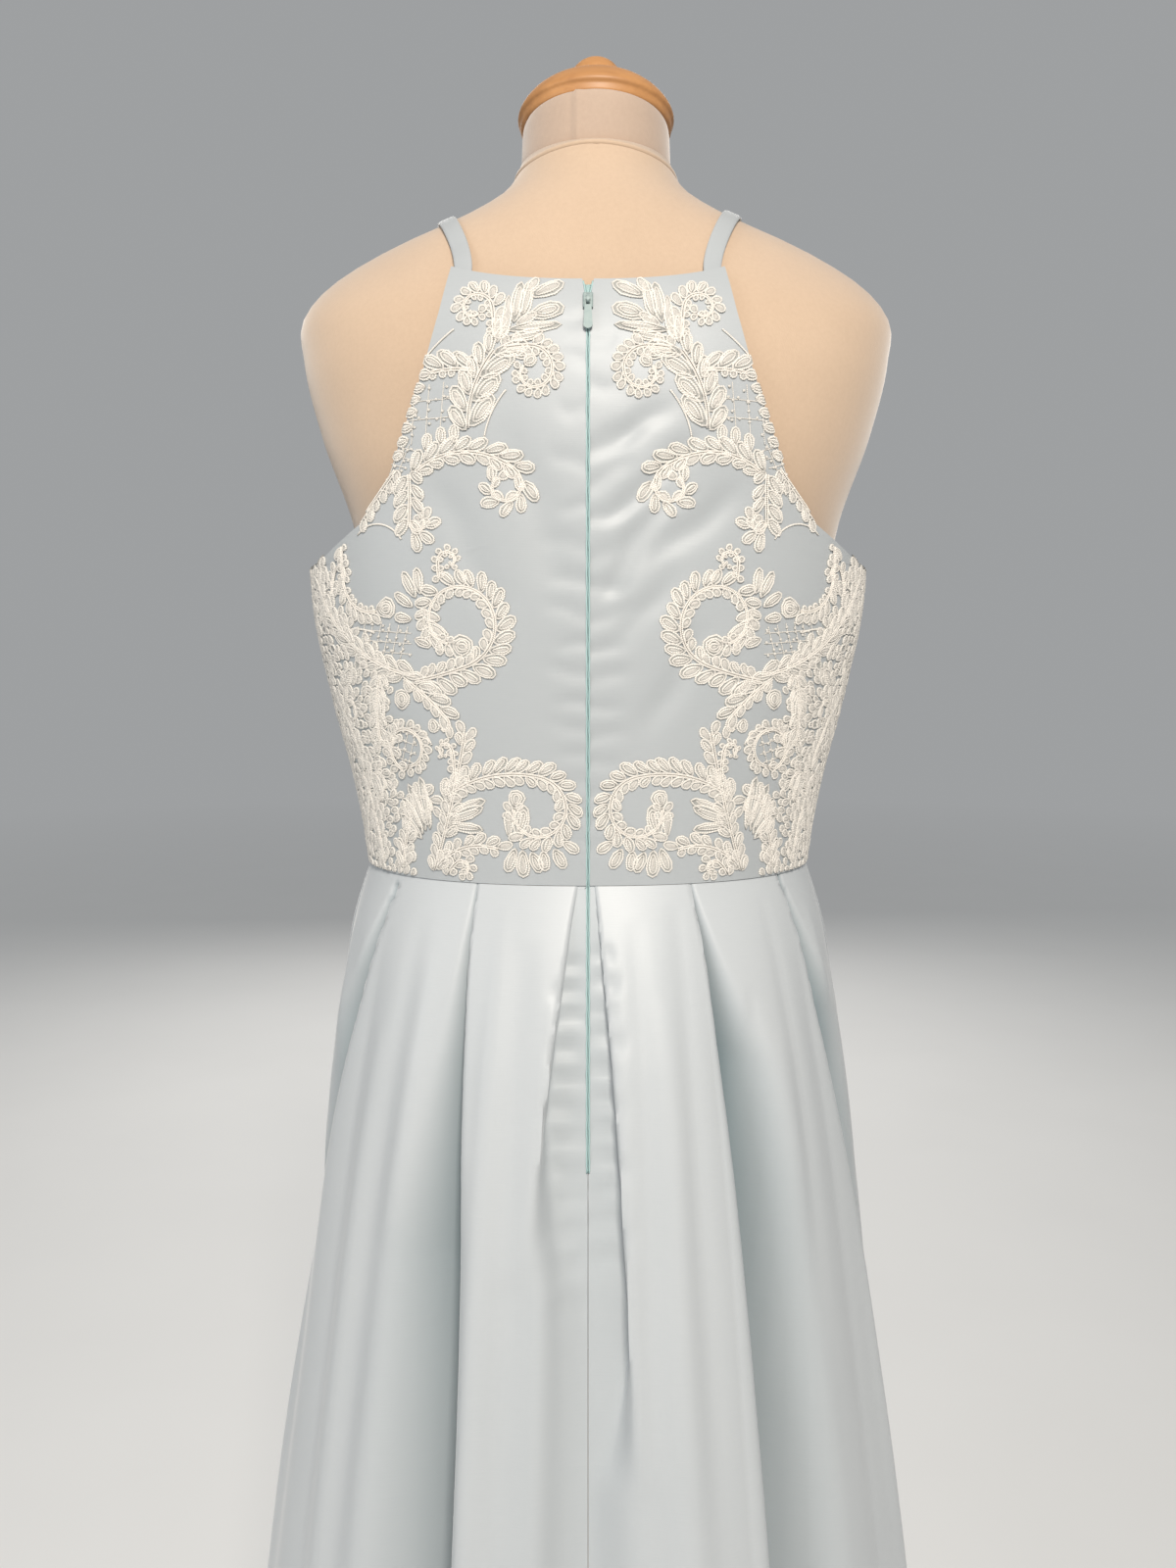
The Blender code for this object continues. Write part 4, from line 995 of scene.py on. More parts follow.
def creases(across, height, rows):
    """How far troughs press the cloth in: -depth * exp(-(aside / width)^2 - (along / length)^4) for each.

    along and aside are measured from the row's place, turned by its slant, and the trough's line wavers
    aside.
    """
    press = np.zeros_like(across)
    for a, h, slant, length, width, depth in rows:
        turn = math.radians(slant)
        da, dh = across / MM - a, height / MM - h
        along = da * math.cos(turn) + dh * math.sin(turn)
        aside = -da * math.sin(turn) + dh * math.cos(turn)
        wobble = 0.18 * width * np.sin(along / length * 4.1 + h)
        press -= depth * MM * np.exp(-(((aside - wobble) / width) ** 2) - (along / length) ** 4)
    return press


BACK_GRID = (120, 72)
FRONT_GRID = (90, 50)
EDGE_ROWS = 6


def panel_places(chart, phi, height):
    """Distance across and height of the grid's points on the flat cloth.

    It reads the chart's table the other way round. Each row is shifted by twice its number, so that one
    interpolation reads them all at once.
    """
    row = np.clip((height / CHART_TOP * (CHART_ROWS - 1)).astype(int), 0, CHART_ROWS - 1)
    table = chart.phi[:, ::4]
    start = math.pi if chart.front else 0
    lifted = (np.abs(table - start) / (math.pi / 2) + 2.0 * np.arange(len(table))[:, None]).ravel()
    even = np.broadcast_to(np.linspace(0, 1, table.shape[1]), table.shape).ravel()
    found = np.interp(np.abs(phi - start) / (math.pi / 2) + 2.0 * row, lifted, even)
    return np.stack([found * np.interp(height, chart.heights, chart.total), height], axis=-1)


def bodice_half(chart, grid, armhole, inset, crease_rows):
    """Outer points of half a bodice with its creases, and their places on the flat cloth."""
    rows, cols = grid
    phi, height = panel_grid(rows, cols, armhole, chart.top_height, chart.front, inset)
    places = panel_places(chart, phi, height)
    row = np.arange(rows + 1)[:, None]
    fade = np.clip(row / EDGE_ROWS, 0, 1) * np.clip((rows - row) / EDGE_ROWS, 0, 1)
    press = creases(places[..., 0], height, crease_rows) * fade
    return bodice_point(phi, height, BODICE_WALL + press), places


def make_back_panel(side, name, crease_rows):
    outer, places = bodice_half(BACK_CHART, BACK_GRID, BACK_ARMHOLE, zip_gap, crease_rows)
    if side < 0:
        outer = mirrored(outer)
    pile = wall(outer, BODICE_WALL, side > 0, places)
    panel = add_piece(f"satin_{name}", pile, SATIN, [name], 50)


def make_front_panel():
    outer, places = bodice_half(FRONT_CHART, FRONT_GRID, FRONT_ARMHOLE, no_gap, FRONT_CREASES)
    whole = with_mirror(outer, mirrored(outer))
    pile = wall(whole, BODICE_WALL, False, with_mirror(places, mirrored(places)))
    panel = add_piece("satin_bodice_front", pile, SATIN, ["bodice_front"], 50)


make_back_panel(-1, "bodice_back_left", RIGHT_PUCKERS)
make_back_panel(1, "bodice_back_right", LEFT_PUCKERS)
make_front_panel()

# %% [markdown]
# ## The skirt
# The skirt is cut much wider than the waist. Its fullness is folded into pleats at the seam, and each fold
# opens on its way down. Draping flat cloth by simulation would move the folds away from where the photo has
# them, so each pleat is placed one by one: the ring of the section gives the place, a valley sinks below it,
# and its floor slides back under the panel nearer the centre. The side towards the centre is the steep one.
# Soft troughs and ridges, no two alike, run down the panels between the valleys.

# %% Shape of the skirt
SKIRT_LENGTH = 0.600
SKIRT_WALL = 0.0012
SKIRT_SQUARENESS = 2.15
SKIRT = columns("drop half_width back front", (
    (0.000, 0.1427, 0.1042, 0.1022),
    (0.031, 0.1520, 0.1160, 0.1120),
    (0.085, 0.1610, 0.1330, 0.1270),
    (0.154, 0.1725, 0.1500, 0.1420),
    (0.220, 0.1820, 0.1620, 0.1530),
    (0.295, 0.1925, 0.1730, 0.1640),
    (0.367, 0.2035, 0.1820, 0.1740),
    (0.441, 0.2140, 0.1900, 0.1820),
    (0.516, 0.2240, 0.1970, 0.1900),
    (SKIRT_LENGTH, 0.2310, 0.2040, 0.1970),
))
# Columns of a pleat: its place (0 centre, 1 side seam) and how far it moves by the hem; its depth and width
# as shares of the valley's; how far its floor slides under the panel beside it; the power of its bell
# curve, which makes its bottom square; the drop at which it is fully open and the one from which it turns
# soft, in millimetres. The centre pleat is open all the way.
LEFT_PLEATS = (
    (0.000, 0.00, 0.42, 1.50, 0.8, 10, 10, 130),
    (0.329, -0.085, 1.06, 0.80, 0.6, 2, 210, 900),
    (0.616, 0.20, 0.86, 0.75, 0.6, 2, 90, 900),
    (0.890, 0.02, 0.42, 0.60, 0.6, 2, 60, 900),
)
RIGHT_PLEATS = (
    (0.000, 0.00, 0.42, 0.98, 0.8, 10, 10, 240),
    (0.304, 0.045, 1.06, 0.80, 0.6, 2, 100, 900),
    (0.634, 0.13, 0.70, 0.75, 0.6, 2, 90, 900),
    (0.890, 0.02, 0.42, 0.60, 0.6, 2, 60, 900),
)
FRONT_PLEATS = (
    (0.000, 0.00, 0.42, 1.50, 0.0, 4, 10, 10),
    (0.314, -0.02, 1.05, 0.80, 0.6, 2, 140, 900),
    (0.619, 0.08, 0.86, 0.75, 0.6, 2, 80, 900),
    (0.890, 0.02, 0.42, 0.60, 0.6, 2, 60, 900),
)
VALLEY = columns("drop depth width", (
    (0.000, 0.0022, 0.0045),
    (0.020, 0.0076, 0.0064),
    (0.040, 0.0130, 0.0080),
    (0.100, 0.0230, 0.0130),
    (0.200, 0.0340, 0.0190),
    (0.350, 0.0450, 0.0240),
    (SKIRT_LENGTH, 0.0530, 0.0300),
))
PANEL_BULGE = 0.004
PANEL_BULGE_DROP = 0.10
PLEAT_MOVE_DROP = 0.25
PLEAT_CLOSED = 0.2
VALLEY_MIDDLE = 0.92
VALLEY_SLIDE = 0.17
STEEP_SIDE = 0.70
SLACK_SIDE = 1.15
SOFTENING = 90
ZIP_END_DROP = 0.1560
ZIP_END_BLEND = 0.008
# How much of the painted fold shade the bottom of a pleat has at each drop, and the share of that at the zip
FOLD_SHADE = columns("drop shade", ((0, 1.0), (0.10, 1.0), (0.18, 0.85), (0.28, 0.62), (SKIRT_LENGTH, 0.34)))
CENTRE_SHADE = 0.13
SKIRT_ROWS, SKIRT_COLS = 112, 128

# Columns of a soft fold: its place (0 centre, 1 side seam), the drops at its top and bottom, how far its line
# moves on its way down, its width, and how far it stands out (or in, below zero); lengths in millimetres
RIGHT_FOLDS = (
    (0.12, 20, 640, 0.02, 9, -2.9), (0.19, 60, 620, 0.02, 10, 2.9), (0.245, 10, 420, -0.02, 7, -2.0),
    (0.43, 60, 660, 0.07, 6, -5.5), (0.49, 90, 620, 0.04, 9, 3.5), (0.54, 10, 300, -0.02, 6, -1.7),
    (0.73, 20, 640, 0.02, 9, 2.9), (0.79, 60, 560, 0.02, 9, -2.9), (0.95, 40, 640, 0.00, 7, 1.4),
)
LEFT_FOLDS = (
    (0.08, 60, 640, 0.04, 8, 3.8), (0.16, 30, 640, 0.03, 11, -3.8), (0.23, 10, 560, 0.02, 8, 2.6),
    (0.27, 150, 640, 0.01, 9, -2.6), (0.43, 40, 640, 0.02, 9, 3.5), (0.49, 20, 620, 0.02, 11, -3.5),
    (0.56, 80, 640, 0.00, 8, 2.3), (0.74, 40, 620, 0.02, 10, -2.6), (0.80, 20, 520, 0.01, 8, 2.2),
    (0.95, 60, 640, 0.00, 7, -1.4),
)
FRONT_FOLDS = (
    (0.08, 30, 640, 0.02, 10, 2.6), (0.16, 20, 600, 0.02, 10, -3.2), (0.24, 90, 640, -0.01, 8, 2.5),
    (0.43, 40, 640, 0.02, 10, -3.2), (0.49, 20, 560, 0.02, 9, 2.6), (0.55, 60, 640, 0.00, 8, -2.3),
    (0.73, 30, 640, 0.02, 9, 2.8), (0.79, 80, 620, 0.01, 9, -2.6), (0.95, 50, 640, 0.00, 7, 1.4),
)
# Short puckers beside the zip, where its stiff tape draws the skirt up: the bodice's crease columns, with the
# height below zero under the waist
LEFT_DRAWS = (
    (8, -44, -10, 7, 3.8, 1.47), (11, -58, 8, 9, 4.3, 2.10), (8, -73, -6, 8, 4.1, 1.89),
    (12, -90, 12, 10, 5.0, 2.52), (9, -107, -4, 9, 4.6, 2.31), (13, -123, 10, 12, 5.3, 2.52),
    (9, -140, -8, 9, 4.8, 2.31), (13, -157, 14, 13, 5.5, 2.52), (9, -173, -6, 10, 5.0, 2.10),
    (14, -190, 12, 13, 6.0, 2.10), (10, -209, -8, 10, 6.2, 1.68), (12, -230, 10, 12, 7.2, 1.26),
)
RIGHT_DRAWS = (
    (8, -38, 8, 7, 3.8, 1.47), (10, -53, -8, 8, 4.3, 2.10), (8, -69, 6, 8, 3.8, 1.68),
    (11, -84, -12, 10, 4.8, 2.31), (8, -101, 6, 8, 4.6, 2.10), (11, -118, -6, 10, 5.0, 2.31),
    (9, -134, 10, 9, 4.6, 2.31), (12, -151, -10, 12, 5.3, 2.31), (9, -168, 4, 9, 4.8, 2.10),
    (12, -186, -12, 13, 5.8, 2.10), (9, -205, 8, 10, 6.0, 1.47),
)
FRONT_DRAWS = ((20, -30, 80, 24, 8.0, 0.6), (62, -40, 76, 30, 8.0, 0.6))


def soft_folds(share, drop, total, rows):
    """How far soft folds lift the skirt: rise * sin(pi way)^0.6 * exp(-(aside / width)^2) for each.

    way goes from 0 to 1 down the fold's line. The fold grows wider and its line moves and wavers on the way.
    """
    lift = 0 * (share + drop)
    for place, top, bottom, move, width, rise in rows:
        way = np.clip((drop / MM - top) / (bottom - top), 0, 1)
        line = place + move * way + 0.006 * np.sin(7 * way + 9 * place)
        aside = (share - line) * total / MM
        grown = width * (0.6 + 0.9 * way)
        lift = lift + rise * MM * np.sin(math.pi * way) ** 0.6 * np.exp(-((aside / grown) ** 2))
    return lift


def skirt_surface(share, drop, front, pleats, folds, draws):
    """The inner face of a quarter of the skirt, for a row of shares and a column of drops.

    The ring gives the place. Each pleat is a line at place + move * tanh(drop / 0.25 m). Its valley sinks
    as a bell curve, exp(-|aside|^flat), whose middle lies 0.92 of its width and 0.17 of its slide outside
    that line. The bell is narrower on the centre's side, which makes that edge crisp, and the valley's
    floor is read further in along the ring, so that it leans back under the panel before it. The centre
    pleat leans under both its panels. Returned are x, y, the place on the flat cloth and how deep in shade
    each point lies.
    """
    fine = np.linspace(0, math.pi / 2, 361)[None, :]
    x, y, nx, ny = ring(math.pi - fine if front else fine, *read(SKIRT, drop), SKIRT_SQUARENESS)
    run = running_length(x, y)
    total = run[:, -1:]
    depth, width = read(VALLEY, drop)
    at = share * total
    sink, shift, shade = 0 * at, 0 * at, 0 * at
    for place, move, deep, wide, lean, flat, full, soft in pleats:
        crisp = np.clip(1 - (drop / MM - soft) / SOFTENING, 0, 1)
        fold = (place + move * np.tanh(drop / PLEAT_MOVE_DROP)) * total
        slide = depth * deep * lean
        if place == 0:
            aside = (at - fold) / (width * wide)
            under = np.clip(aside / 0.6, 0, 1) * crisp
            share_of_shade = CENTRE_SHADE
        else:
            opened = PLEAT_CLOSED + (1 - PLEAT_CLOSED) * np.clip(drop / MM / full, 0, 1) ** 1.3
            room = width * wide * opened
            aside = (at - (fold + VALLEY_MIDDLE * room + VALLEY_SLIDE * slide)) / room
            aside = np.where(aside < 0, aside / STEEP_SIDE, aside / SLACK_SIDE)
            under = -1
            share_of_shade = 1.0
        bell = np.exp(-(np.abs(aside) ** (2 + (flat - 2) * crisp)))
        sink = sink + depth * deep * bell
        # Painted shade: the bottom of each valley is marked for a darker colour, less at the centre pleat
        shade = shade + bell**0.8 * share_of_shade
        shift = shift + slide * bell * under * (1 - share**12)
    edges = np.array([pleat[0] for pleat in pleats] + [2 - pleats[-1][0]])
    panel = np.clip(np.searchsorted(edges, share, side="right") - 1, 0, len(edges) - 2)
    part_way = (share - edges[panel]) / (edges[panel + 1] - edges[panel])
    swell = PANEL_BULGE * np.clip(drop / PANEL_BULGE_DROP, 0, 1) * np.sin(math.pi * part_way)
    out = swell - sink + soft_folds(share, drop, total, folds) + creases(at, -drop + 0 * at, draws)
    x, y, nx, ny = [along_rows(at + shift, run, values) for values in (x, y, nx, ny)]
    size = np.hypot(nx, ny)
    fading = np.interp(drop, FOLD_SHADE["drop"], FOLD_SHADE["shade"])
    return x + nx / size * out, y + ny / size * out, at, np.clip(shade * fading, 0, 1)


def close_columns(pleats):
    """The shares of a quarter's columns, up to three and a half times closer at the pleats than elsewhere."""
    even = np.linspace(0, 1, 801)
    crowd = 1 + 0 * even
    for place, move, *_ in pleats:
        crowd += 2.5 * np.exp(-(((even - place - 0.5 * move - 0.02) / 0.055) ** 2))
    run = np.append(0, np.cumsum((crowd[1:] + crowd[:-1]) / 2))
    return np.interp(np.linspace(0, 1, SKIRT_COLS), run / run[-1], even)


def skirt_quarter(front, pleats, folds, draws):
    """Outer points of a quarter of the skirt, hem first, and their places on the flat cloth."""
    share = close_columns(pleats)[None, :]
    drop = (SKIRT_LENGTH * np.linspace(1, 0, SKIRT_ROWS) ** 1.5)[:, None]
    x, y, at, shade = skirt_surface(share, drop, front, pleats, folds, draws)
    side = -1 if front else 1
    y[:, -1] = side * SEAM_GAP / 2
    if not front:
        closing = np.clip((drop[:, 0] - ZIP_END_DROP + ZIP_END_BLEND / 2) / ZIP_END_BLEND, 0, 1)
        x[:, 0] = SEAM_GAP / 2 + (ZIP_RIDGE_HALF + SEAM_GAP / 2) * (1 - closing)
    tx, ty = np.gradient(x, axis=1), np.gradient(y, axis=1)
    tx[:, 0], ty[:, 0] = 1.0, 0.0
    tx[:, -1], ty[:, -1] = 0.0, -side
    size = np.hypot(tx, ty)
    out = side * SKIRT_WALL / size
    outer = np.stack([x - ty * out, y + tx * out, WAIST_Z - SEAM_GAP - drop + 0 * x], axis=-1)
    return outer, np.stack([at, -drop + 0 * at], axis=-1), shade


# %% The skirt's three panels
def make_skirt_back(side, name, *tables):
    outer, places, shade = skirt_quarter(False, *tables)
    if side < 0:
        outer = mirrored(outer)
    pile = wall(outer, SKIRT_WALL, side > 0, places, shade)
    panel = add_piece(f"satin_{name}", pile, SKIRT_SATIN, [name], 60)


def make_skirt_front():
    outer, places, shade = skirt_quarter(True, FRONT_PLEATS, FRONT_FOLDS, FRONT_DRAWS)
    whole = with_mirror(outer, mirrored(outer))
    laid = with_mirror(places, mirrored(places))
    pile = wall(whole, SKIRT_WALL, False, laid, with_mirror(shade, shade))
    panel = add_piece("satin_skirt_front", pile, SKIRT_SATIN, ["skirt_front"], 60)


make_skirt_back(-1, "skirt_back_left", RIGHT_PLEATS, RIGHT_FOLDS, RIGHT_DRAWS)
make_skirt_back(1, "skirt_back_right", LEFT_PLEATS, LEFT_FOLDS, LEFT_DRAWS)
make_skirt_front()

# %% [markdown]
# ## The straps
# Each strap is a bias-cut tube of satin, turned inside out and pressed, so its section is a flat band with
# round edges. It starts behind the back panel's top corner, lies on the shoulder and ends behind the front.
# Its middle line follows the form's skin, found from the same sections as the torso.

# %% Straps
STRAP_WIDTH = 0.0105
STRAP_THICKNESS = 0.0020
STRAP_LIFT = 0.0006
STRAP_TUCK_GAP = 0.0008
STRAP_BACK_X = 0.0702
STRAP_TOP_X = 0.0890
STRAP_FRONT_X = 0.0740
STRAP_BACK_HEIGHT = 0.3430
STRAP_FRONT_HEIGHT = 0.3620
STRAP_EDGE_HEIGHT = 0.3560
STRAP_STEPS = 90
STRAP_TUCK = 0.012
STRAP_UPRIGHT = 0.008
STRAP_OVERSHOOT = 0.02
SHOULDER_ROW = 10


def form_level(x, y, height):
    """1 on the form's skin, less inside it and more outside: the superellipse's own equation."""
    half_width, back, front, squareness = form_sizes(height)
    depth = np.where(y > 0, back, front)
    return (np.abs(x) / half_width) ** squareness + (np.abs(y) / depth) ** squareness


def skin_y(x, height, front):
    """How far back, or forward, the form's skin lies at a distance from its axis."""
    half_width, back, fore, squareness = form_sizes(height)
    inside = np.clip(1 - (np.abs(x) / half_width) ** squareness, 0, 1) ** (1 / squareness)
    return -fore * inside if front else back * inside


def strap_run(side):
    """The strap's middle line on the form's skin, and the skin's normal along it."""
    crest = np.interp(-STRAP_TOP_X, -FORM["half_width"][SHOULDER_ROW:], FORM["height"][SHOULDER_ROW:])
    ends = ((STRAP_BACK_HEIGHT, STRAP_BACK_X, False), (STRAP_FRONT_HEIGHT, STRAP_FRONT_X, True))
    halves = []
    for low, end_x, front in ends:
        height = low + (crest + STRAP_OVERSHOOT - low) * np.linspace(0, 1, 400)
        share = np.clip((height - low - STRAP_UPRIGHT) / (crest - low - STRAP_UPRIGHT), 0, 1)
        x = side * (end_x + (STRAP_TOP_X - end_x) * share**1.5) + DRESS_SHIFT
        keep = smooth(height, FORM["height"], FORM["half_width"]) > np.abs(x)
        x, height = x[keep], height[keep]
        halves.append(np.stack([x, skin_y(x, height, front), height], axis=-1))
    line = np.concatenate([halves[0], halves[1][::-1]])
    run = line_length(line)
    at = np.linspace(0, run[-1], STRAP_STEPS + 1)
    line = np.stack([np.interp(at, run, line[:, k]) for k in range(3)], axis=-1)
    lean = [form_level(*(line + 1e-4 * way).T) - form_level(*line.T) for way in np.eye(3)]
    return line, unit(np.stack(lean, axis=-1)), run[-1]


def make_straps():
    """A flat band with round edges, carried along the strap's line and lifted off the skin.

    Its outline is a squarish ellipse, (|cos t|^0.45, |sin t|^0.75) with the signs kept. Its ends lie behind
    the panels, halfway in the room that is left between the panel and the skin, or on the skin.
    """
    angle = np.linspace(0, 2 * math.pi, 20, endpoint=False)
    wide = np.sign(np.cos(angle)) * np.abs(np.cos(angle)) ** 0.45 * STRAP_WIDTH / 2
    thick = (np.sign(np.sin(angle)) * np.abs(np.sin(angle)) ** 0.75 + 1) * STRAP_THICKNESS / 2
    for name, side in (("strap_left", -1), ("strap_right", 1)):
        line, normal, length = strap_run(side)
        across = np.cross(unit(np.gradient(line, axis=0)), normal)
        x, y, height = line.T
        lift = np.full(len(line), STRAP_LIFT)
        for front in (False, True):
            phi = phi_of_x(np.abs(x - DRESS_SHIFT), height, front)
            room = np.abs(bodice_point(phi, height)[:, 1] - y) * np.abs(normal[:, 1])
            tucked = np.maximum(room - STRAP_THICKNESS - STRAP_TUCK_GAP, STRAP_LIFT)
            edge = STRAP_EDGE_HEIGHT + (STRAP_FRONT_HEIGHT - STRAP_BACK_HEIGHT) * front
            near = np.clip((edge - height) / STRAP_TUCK + 1, 0, 1) * ((y < 0) == front)
            lift += (tucked - STRAP_LIFT) * near
        middle = line + normal * lift[:, None] + np.array([-DRESS_SHIFT, 0, WAIST_Z])
        rings = middle[:, None] + across[:, None] * wide[:, None] + normal[:, None] * thick[:, None]
        run = np.linspace(0, length, len(line))
        places = np.stack(np.broadcast_arrays(wide[None, :], run[:, None]), axis=-1)
        pile = closed_tower(rings[:, ::-1], places[:, ::-1])
        strap = add_piece(f"satin_{name}", pile, SATIN, [name])


make_straps()

# %% [markdown]
# ## The concealed zip
# A concealed zip is sewn in behind the cloth, so from outside there are only two thin lips that meet in a
# dark line. Above the slider they part in a narrow V and the coil's teeth show as two rows of tiny loops.
# Each lip is a tube along the centre back with an uneven push where the stitches pull, and each tooth is a
# short tube bent to a U. They lie on the tape, a strip behind the panels.

# %% Zip
ZIP_TOP_HEIGHT = 0.3390
ZIP_TAPE_HALF = 0.0080
ZIP_TAPE_THICKNESS = 0.0010
ZIP_TAPE_GAP = 0.0005
LIP_RADIUS = 0.00052
LIP_PLACE = 0.00066
TOOTH_PITCH = 0.0011
TOOTH_RADIUS = 0.00032
TOOTH_REACH = 0.0011


def back_line(height):
    """The inner face's y down the centre back, through bodice and skirt."""
    on_bodice = bodice_point(0 * height, np.clip(height, 0, None))[:, 1]
    drop = np.clip(-height, 0, None)[:, None]
    on_skirt = skirt_surface(np.zeros((1, 1)), drop, False, LEFT_PLEATS, (), ())[1][:, 0]
    return np.where(height >= 0, on_bodice, on_skirt)


def make_tape():
    """The strip behind the panels: a flat section carried down the centre back."""
    height = np.linspace(-ZIP_END_DROP, ZIP_TOP_HEIGHT, 120)[:, None]
    y = back_line(height[:, 0])[:, None]
    across = np.array([-1, 1, 1, -1]) * ZIP_TAPE_HALF
    behind = -ZIP_TAPE_GAP - ZIP_TAPE_THICKNESS * np.array([1, 1, 0, 0])
    rings = np.stack(np.broadcast_arrays(across, y + behind, WAIST_Z + height), axis=-1)
    add_piece("zip_tape_strip", closed_tower(rings), ZIP_TAPE, ["zip_tape"])


def make_lips():
    """Two rolled edges beside the dark line, which meet below the slider and part above it.

    Each wavers a little, as two sine waves of different lengths.
    """
    pile = Pile()
    height = np.linspace(-ZIP_END_DROP - 0.003, ZIP_TOP_HEIGHT + 0.0015, 240)
    y = back_line(height) + BODICE_WALL * np.where(height < 0, 0.8, 1) - LIP_RADIUS * 0.35
    normal = np.tile([0.0, 1.0, 0.0], (len(height), 1))
    for side, phase in ((-1, 0.4), (1, 2.1)):
        uneven = 0.00010 * np.sin(height * 420 + phase) + 0.00008 * np.sin(height * 1130 + 3 * phase)
        x = side * (LIP_PLACE + ZIP_OPEN_HALF * zip_open(height)) + uneven
        line = np.stack([x, y, WAIST_Z + height], axis=-1)
        pile.add(*tube(line, LIP_RADIUS, 6, normal))
    add_piece("zip_lips", pile, ZIP_TAPE)


def make_teeth():
    """The coil above the slider: each tooth is a tube bent to a U, out of the tape and back."""
    pile = Pile()
    bend = np.linspace(0, math.pi, 7)
    normal = np.tile([0.0, 0.0, 1.0], (len(bend), 1))
    for level in np.arange(SLIDER_HEIGHT + 0.003, ZIP_TOP_HEIGHT, TOOTH_PITCH):
        out = float(back_line(np.array([level]))[0]) - 0.0002 + TOOTH_REACH * (1 - np.cos(bend)) / 2
        up = np.full_like(bend, WAIST_Z + level) + 0.0003 * np.cos(bend)
        for side in (-1, 1):
            root = side * (ZIP_OPEN_HALF * zip_open(level) + 0.0006)
            line = np.stack([root - side * TOOTH_REACH * 0.6 * np.sin(bend), out, up], axis=-1)
            pile.add(*tube(line, TOOTH_RADIUS, 6, normal))
    add_piece("zip_teeth", pile, ZIP_COIL)


make_tape()
make_lips()
make_teeth()
for node_name in ("zip_slider", "zip_pull"):
    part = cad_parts[node_name]
    part.data.materials.clear()
    part.data.materials.append(LACQUER)

# %% [markdown]
# ## The corded lace
# The lace is a net embroidered with thick cord and cut along its edge. Its plan is an old one: stems grow,
# turn and end in curls, and petals stand along them like a feather's barbs. Leaves fan out where stems part.
# So the whole layout is a short table of stems and one of leaves, on the flat cloth, and the petals follow
# from the stems. One half serves both halves of the back and of the front, as in the real cloth.
# A petal is a raised rim of cord round a hollow with a second cord in it: a few rings of points, each further
# in from a teardrop outline, with a height each.

# %% Lace layout
# Sizes in millimetres, angles in degrees from the +across direction towards +height. A stem runs on while it
# turns, then may curl: it spins in from the curl's radius. left and right say how long its petals are.
STEM_COLUMNS = "across height heading run turn curl spin tight left right lean".split()
NO_CURL = (0, 0, 1.0, 0, 0, 0)
STEMS = (
    (52, 305, 91, 20, -6, 10, -320, 0.35, 8, 3.5, 58),
    (48, 302, 170, 15, 8, 14, 325, 0.35, 5, 7, 62),
    (67, 257, 88, 48, 42, 0, 0, 1.0, 19, 13, 44),
    (61, 290, 12, 28, -24, 0, 0, 1.0, 12, 4, 42),
    (101, 235, 140, 64, 76, 11, 300, 0.45, 9, 12, 34),
    (103, 238, -92, 28, 6, 6, -230, 0.5, 11, 9, 52),
    (110, 240, -48, 38, 4, 0, 0, 1.0, 7, 7, 40),
    (154, 200, -84, 22, -14, 24, -95, 0.8, 8, 4, 50),
    (166, 166, 92, 18, 24, 6, 240, 0.5, 6, 6, 50),
    (106, 118, 172, 38, -12, 26, -330, 0.5, 12, 7, 56),
    (85, 174, 82, 12, 6, 6, 260, 0.5, 3, 4, 45),
    (100, 121, 8, 104, 52, 0, 0, 1.0, 11, 11, 34),
    (112, 121, -150, 40, 20, 4, 200, 0.5, 8, 12, 34),
    (126, 124, -70, 40, -24, 7, -240, 0.5, 9, 9, 40),
    (94, 4, 109, 88, -8, 0, 0, 1.0, 9, 8, 42),
    (79, 58, 96, 20, -14, 5, -250, 0.5, 3, 4, 45),
    (86, 49, 140, 62, 52, 20, 270, 0.6, 7, 10, 52),
    (90, 9, 128, 42, 70, 0, 0, 1.0, 6, 8, 42),
    (85, 2, 110, 12, 30, 5, 230, 0.5, 5, 6, 45),
    (112, 65, 10, 5, 20, 13, 330, 0.8, 0, 6, 60),
    (118, 4, 96, 44, 20, 7, 260, 0.5, 9, 9, 40),
    (138, 4, 84, 52, -16, 8, -260, 0.5, 9, 9, 40),
    (162, 6, 98, 56, 22, 8, 260, 0.5, 9, 9, 40),
    (150, 62, 76, 50, -30, 8, -250, 0.5, 9, 9, 40),
    (184, 40, 92, 66, 30, 8, 260, 0.5, 9, 9, 40),
    (206, 6, 84, 60, -10, 8, -260, 0.5, 9, 9, 40),
    (214, 84, 92, 70, 10, 8, 260, 0.5, 9, 9, 40),
)
